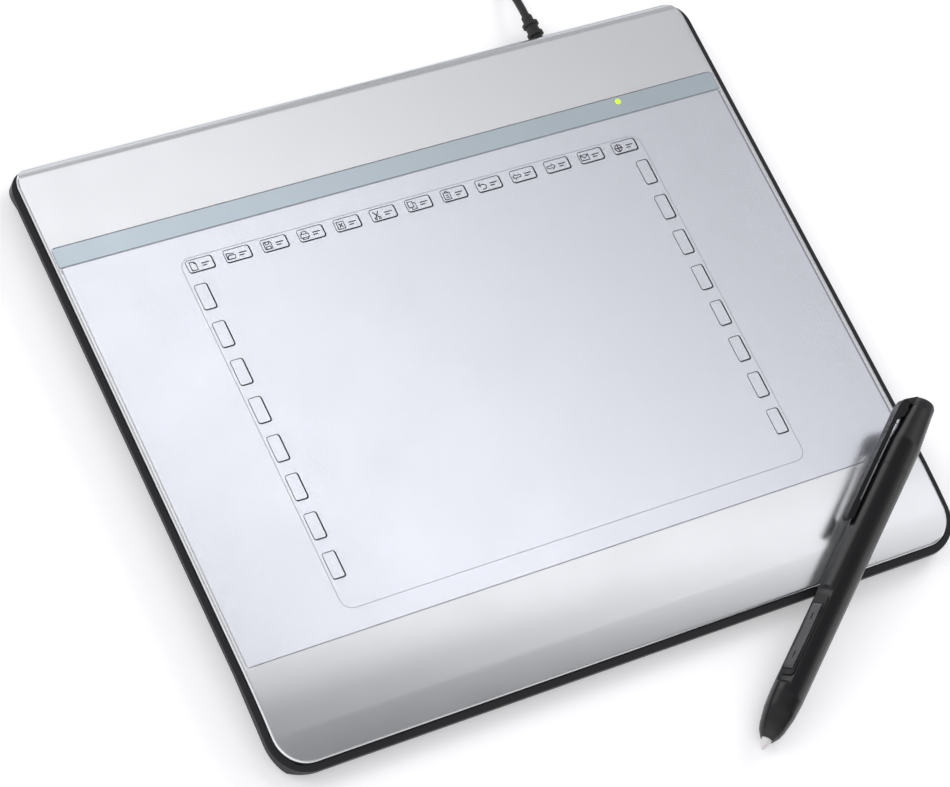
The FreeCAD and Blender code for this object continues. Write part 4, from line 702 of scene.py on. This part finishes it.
class Symbol(Enum):
    """The small symbols of the cells behind the work area, as lines in millimetres about their middles."""

    PAGE = (((-1.2, -1.7), (-1.2, 1.7), (0.5, 1.7), (1.2, 1.0), (1.2, -1.7), (-1.2, -1.7)),
            ((0.5, 1.7), (0.5, 1.0), (1.2, 1.0)))
    FOLDER = (((-1.7, -1.3), (-1.7, 1.2), (-0.5, 1.2), (-0.1, 0.8), (1.4, 0.8)),
              ((-1.7, -1.3), (-1.0, 0.2), (2.0, 0.2), (1.4, -1.3), (-1.7, -1.3)))
    DISK = (((-1.5, -1.5), (-1.5, 1.5), (1.1, 1.5), (1.5, 1.1), (1.5, -1.5), (-1.5, -1.5)),
            ((-0.8, 1.5), (-0.8, 0.5), (0.7, 0.5), (0.7, 1.5)),
            ((-0.9, -1.5), (-0.9, -0.4), (0.9, -0.4), (0.9, -1.5)))
    PRINTER = (((-1.7, -0.9), (-1.7, 0.6), (1.7, 0.6), (1.7, -0.9), (-1.7, -0.9)),
               ((-1.0, 0.6), (-0.8, 1.6), (1.0, 1.6), (1.0, 0.6)),
               ((-1.1, -0.9), (-1.1, -1.6), (1.1, -1.6), (1.1, -0.9)))
    CLOSE = (((-1.5, -1.5), (-1.5, 1.5), (1.5, 1.5), (1.5, -1.5), (-1.5, -1.5)),
             ((-0.8, -0.8), (0.8, 0.8)), ((-0.8, 0.8), (0.8, -0.8)))
    SCISSORS = (((-1.2, 1.7), (0.5, -0.7), (1.2, -1.0), (1.2, -1.7), (0.5, -1.7), (0.5, -0.7)),
                ((1.2, 1.7), (-0.5, -0.7), (-1.2, -1.0), (-1.2, -1.7), (-0.5, -1.7), (-0.5, -0.7)))
    PAGES = (((-1.6, -0.7), (-1.6, 1.7), (0.4, 1.7), (0.4, -0.7), (-1.6, -0.7)),
             ((0.4, 0.9), (1.5, 0.9), (1.5, -1.7), (-0.6, -1.7), (-0.6, -0.7)))
    BOARD = (((-1.5, -1.6), (-1.5, 1.3), (1.2, 1.3), (1.2, -1.6), (-1.5, -1.6)),
             ((-0.6, 1.3), (-0.6, 1.8), (0.3, 1.8), (0.3, 1.3)),
             ((-0.7, 0.2), (0.5, 0.2)), ((-0.7, -0.7), (0.5, -0.7)))
    UNDO = (((-0.7, 1.4), (-1.6, 0.6), (-0.7, -0.2)),
            ((-1.6, 0.6), (0.8, 0.6), (1.5, 0.0), (1.5, -0.8), (0.8, -1.4), (-0.4, -1.4)))
    BACK = (((-1.8, 0), (-0.6, 1.2), (-0.6, 0.5), (1.7, 0.5), (1.7, -0.5), (-0.6, -0.5), (-0.6, -1.2), (-1.8, 0)),)
    FORWARD = (((1.8, 0), (0.6, 1.2), (0.6, 0.5), (-1.7, 0.5), (-1.7, -0.5), (0.6, -0.5), (0.6, -1.2), (1.8, 0)),)
    ENVELOPE = (((-1.8, -1.2), (-1.8, 1.2), (1.8, 1.2), (1.8, -1.2), (-1.8, -1.2)),
                ((-1.8, 1.2), (0.0, -0.2), (1.8, 1.2)))
    GLOBE = (((0.0, 1.6), (1.1, 1.1), (1.6, 0.0), (1.1, -1.1), (0.0, -1.6), (-1.1, -1.1), (-1.6, 0.0), (-1.1, 1.1),
              (0.0, 1.6)), ((-1.6, 0.0), (1.6, 0.0)), ((0.0, 1.6), (0.0, -1.6)))


# What stands beside each symbol
WORD_BARS: Lines = (((3.4, 0.35), (6.6, 0.35)), ((3.4, -0.65), (5.4, -0.65)))


@dataclass
class SheetPrint:
    """The cells and the frame line printed on the work sheet, under the clear film."""

    back_shift: float = 23.8
    height: float = 11.6
    ink: float = 0.03
    line: float = 0.42
    heavier: float = 0.15
    stroke: float = 0.42
    symbol_x: float = -2.9
    top_row: float = 68.9
    top_pitch: float = 15.63
    top_count: int = 13
    top_size: tuple[float, float] = (11.2, 5.6)
    side_x: float = 97.5
    side_first: float = 56.0
    side_pitch: float = 16.16
    side_count: int = 8
    side_size: tuple[float, float] = (5.6, 11.0)
    corner: float = 1.2
    frame_x: float = 101.6
    frame_back: float = 72.7
    frame_front: float = -74.7
    frame_corner: float = 4.5
    frame_line: float = 0.22
    corner_segments: int = 5
    symbol_flatness: float = 0.12

    def ring(self, size: tuple[float, float], corner: float, line: float, heavier: float) -> bpy.types.Object:
        """A flat rounded outline around the origin.

        Args:
            size: Width and depth outside, in millimetres.
            corner: The outer corner's radius.
            line: The line's width.
            heavier: How much wider the line is on its right and near sides.

        Returns:
            The outline's object, with its height.
        """
        deselect()
        bpy.ops.mesh.primitive_plane_add(size=1.0, location=(0, 0, 0))
        ring = bpy.context.active_object
        ring.scale = (size[0] * MM, size[1] * MM, 1.0)
        settle(ring)
        with editing(ring, "VERT"):
            bpy.ops.mesh.bevel(offset=corner * MM, offset_type="OFFSET",
                               segments=self.corner_segments, affect="VERTICES")
        with editing(ring):
            bpy.ops.mesh.inset(thickness=line * MM, depth=0)
            bpy.ops.transform.translate(value=(-heavier * MM, heavier * MM, 0))
            bpy.ops.mesh.delete(type="FACE")
            bpy.ops.mesh.select_all(action="SELECT")
            bpy.ops.mesh.extrude_region_move(TRANSFORM_OT_translate={"value": (0, 0, self.ink * MM)})
            bpy.ops.mesh.select_all(action="SELECT")
            bpy.ops.mesh.normals_make_consistent(inside=False)
        return ring

    def at(self, x: float, y: float) -> Vector:
        """Return a place on the sheet, in metres."""
        return Vector((x, y + self.back_shift, self.height)) * MM

    def cells(self) -> bpy.types.Object:
        """The row of cells behind the work area and the columns beside it."""
        wide = self.ring(self.top_size, self.corner, self.line, self.heavier)
        tall = self.ring(self.side_size, self.corner, self.line, self.heavier)
        made = []
        for index in range(self.top_count):
            x = (index - (self.top_count - 1) / 2) * self.top_pitch
            made.append(copied(wide, self.at(x, self.top_row)))
        for side in (-1, 1):
            for index in range(self.side_count):
                made.append(copied(tall, self.at(side * self.side_x, self.side_first - index * self.side_pitch)))
        for first in (wide, tall):
            bpy.data.objects.remove(first)
        return joined("printed_cells", made)

    def frame_line_piece(self) -> bpy.types.Object:
        """The thin line round the work area."""
        size = (2 * self.frame_x, self.frame_back - self.frame_front)
        ring = self.ring(size, self.frame_corner, self.frame_line, 0.0)
        ring.location = self.at(0.0, (self.frame_back + self.frame_front) / 2)
        return joined("printed_frame", [ring])

    def symbols(self) -> bpy.types.Object:
        """The plain symbols in the row of cells, with two bars beside each."""
        curve = bpy.data.curves.new("printed_symbols", "CURVE")
        curve.dimensions = "3D"
        curve.bevel_depth = self.stroke / 2 * MM
        curve.bevel_resolution = 0
        curve.use_fill_caps = True
        for index, symbol in enumerate(Symbol):
            x = (index - (self.top_count - 1) / 2) * self.top_pitch + self.symbol_x
            for line in symbol.value + WORD_BARS:
                spline = curve.splines.new("POLY")
                spline.points.add(len(line) - 1)
                for (across, along), point in zip(line, spline.points):
                    point.co = ((x + across) * MM, along * MM, 0.0, 1.0)
        piece = bpy.data.objects.new("printed_symbols", curve)
        bpy.context.scene.collection.objects.link(piece)
        activate(piece)
        bpy.ops.object.convert(target="MESH")
        with editing(piece, "VERT"):
            bpy.ops.transform.resize(value=(1.0, 1.0, self.symbol_flatness))
        piece.location = self.at(0.0, self.top_row) + Vector((0, 0, self.ink * MM))
        return joined("printed_symbols", [piece])

    def build(self) -> None:
        """Print the cells, their symbols and the frame line."""
        dress(self.cells(), "print_ink", Place.TABLET)
        dress(self.symbols(), "print_ink", Place.TABLET)
        dress(self.frame_line_piece(), "print_line", Place.TABLET)


# Painted shade in the joints between the cover and what is let into it
@dataclass
class CoverJointShade:
    """Dark strips that paint the shade in the narrow gaps in front of the sheet and behind the band."""

    back_shift: float = 23.8
    sheet_gap: tuple[float, float] = (-83.59, -83.46)
    band_gap: tuple[float, float] = (90.01, 90.24)
    half_length: float = 144.5
    foot: float = 11.45
    top: float = 11.98

    def strip(self, name: str, edges: tuple[float, float]) -> bpy.types.Object:
        """A thin straight strip of painted shade that fills a gap between two places along Y."""
        deselect()
        middle = (edges[0] + edges[1]) / 2 + self.back_shift
        bpy.ops.mesh.primitive_plane_add(size=1.0, location=(0, middle * MM, self.foot * MM))
        strip = bpy.context.active_object
        strip.scale = (2 * self.half_length * MM, (edges[1] - edges[0]) * MM, 1.0)
        settle(strip)
        with editing(strip):
            bpy.ops.mesh.extrude_region_move(TRANSFORM_OT_translate={"value": (0, 0, (self.top - self.foot) * MM)})
            bpy.ops.mesh.select_all(action="SELECT")
            bpy.ops.mesh.normals_make_consistent(inside=False)
        return joined(name, [strip])

    def build(self) -> None:
        """Fill both gaps with painted shade."""
        dress(self.strip("sheet_joint", self.sheet_gap), "joint_shadow", Place.TABLET)
        dress(self.strip("band_joint", self.band_gap), "joint_shadow", Place.TABLET)


# The pen
@dataclass
class PenMarks:
    """The pen's place on the desk, and the raised marks on its rocker switch."""

    base: Point = (30.342, -148.705, 3.6805)
    heading: float = 39.7
    lean: float = 8.9276
    roll: float = 130.0
    rocker_middle: float = 46.1
    mark_apart: float = 17.0
    mark_height: float = 6.68
    mark_size: Point = (0.16, 0.55, 2.8)
    mark_round: float = 0.06
    mark_segments: int = 3

    def placed(self) -> Matrix:
        """Return the matrix from the pen's own axes, X towards its switch and Z along it, to the desk."""
        turn = (Matrix.Rotation(math.radians(self.heading), 4, "Z")
                @ Matrix.Rotation(math.radians(90 - self.lean), 4, "Y")
                @ Matrix.Rotation(math.radians(self.roll), 4, "Z"))
        return Matrix.Translation(Vector(self.base) * MM) @ turn

    def mark(self, along: float) -> bpy.types.Object:
        """One small bar on the rocker's face, with rounded ends."""
        deselect()
        bpy.ops.mesh.primitive_cube_add(size=1.0, location=(0, 0, 0))
        bar = bpy.context.active_object
        bar.scale = tuple(c * MM for c in self.mark_size)
        settle(bar)
        with editing(bar, "EDGE"):
            bpy.ops.mesh.bevel(offset=self.mark_round * MM, segments=self.mark_segments)
        bar.location = Vector((self.mark_height, 0, along)) * MM
        settle(bar)
        bar.matrix_world = self.placed()
        return settle(bar)

    def build(self) -> None:
        """Put a mark on each end of the rocker."""
        marks = [self.mark(self.rocker_middle + side * self.mark_apart / 2) for side in (-1, 1)]
        dress(joined("rocker_marks", marks), "button_mark", Place.ROCKER)


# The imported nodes
@dataclass
class Nodes:
    """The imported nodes, dressed, and the visible curved ones redrawn with smooth surfaces."""

    frame: dict[str, Any]
    smooth_angle: float = 32.0
    merge: float = 0.000002
    curved: tuple[str, ...] = (
        "bottom_case", "top_cover", "cable_grommet", "light_pipe", "pen_barrel",
        "nose_cone", "switch_bezel", "pen_nib", "rocker_button", "pen_cap", "pen_crown", "pen_clip",
        "foot_front_left", "foot_front_right", "foot_back_left", "foot_back_right")

    def redraw(self, node: str, slot: str, body: str) -> None:
        """Copy a node's mesh, merge its loose triangles and shade its curves smooth."""
        piece = bpy.data.objects.new(f"{node}_surface", self.frame["nodes"][node].data.copy())
        bpy.context.scene.collection.objects.link(piece)
        with editing(piece, "VERT"):
            bpy.ops.mesh.customdata_custom_splitnormals_clear()
            bpy.ops.mesh.remove_doubles(threshold=self.merge)
        smooth(piece, self.smooth_angle)
        finish_with(piece, "WEIGHTED_NORMAL", keep_sharp=True)
        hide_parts(node)
        dress(piece, slot, Place(body))

    def build(self) -> None:
        """Dress every node by the record's slots, and redraw the curved ones."""
        slots = {part["node"]: part["material_slot"] for part in self.frame["record"]["subparts"]}
        bodies = self.frame["record"]["behaviour"]["bodies"]
        for body, nodes in bodies.items():
            for node in nodes:
                if node in self.curved:
                    self.redraw(node, slots[node], body)
                else:
                    FINISHES[slots[node]].on(self.frame["nodes"][node])
                    LOG.info("%s is dressed in %s", node, slots[node])


def main() -> None:
    """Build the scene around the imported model."""
    logging.basicConfig(level=logging.INFO, format="%(message)s")
    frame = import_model()
    studio = Studio()
    studio.make_camera()
    Cable().build()
    Nodes(frame).build()
    SheetPrint().build()
    CoverJointShade().build()
    PenMarks().build()
    studio.build()


if __name__ == "__main__":
    main()
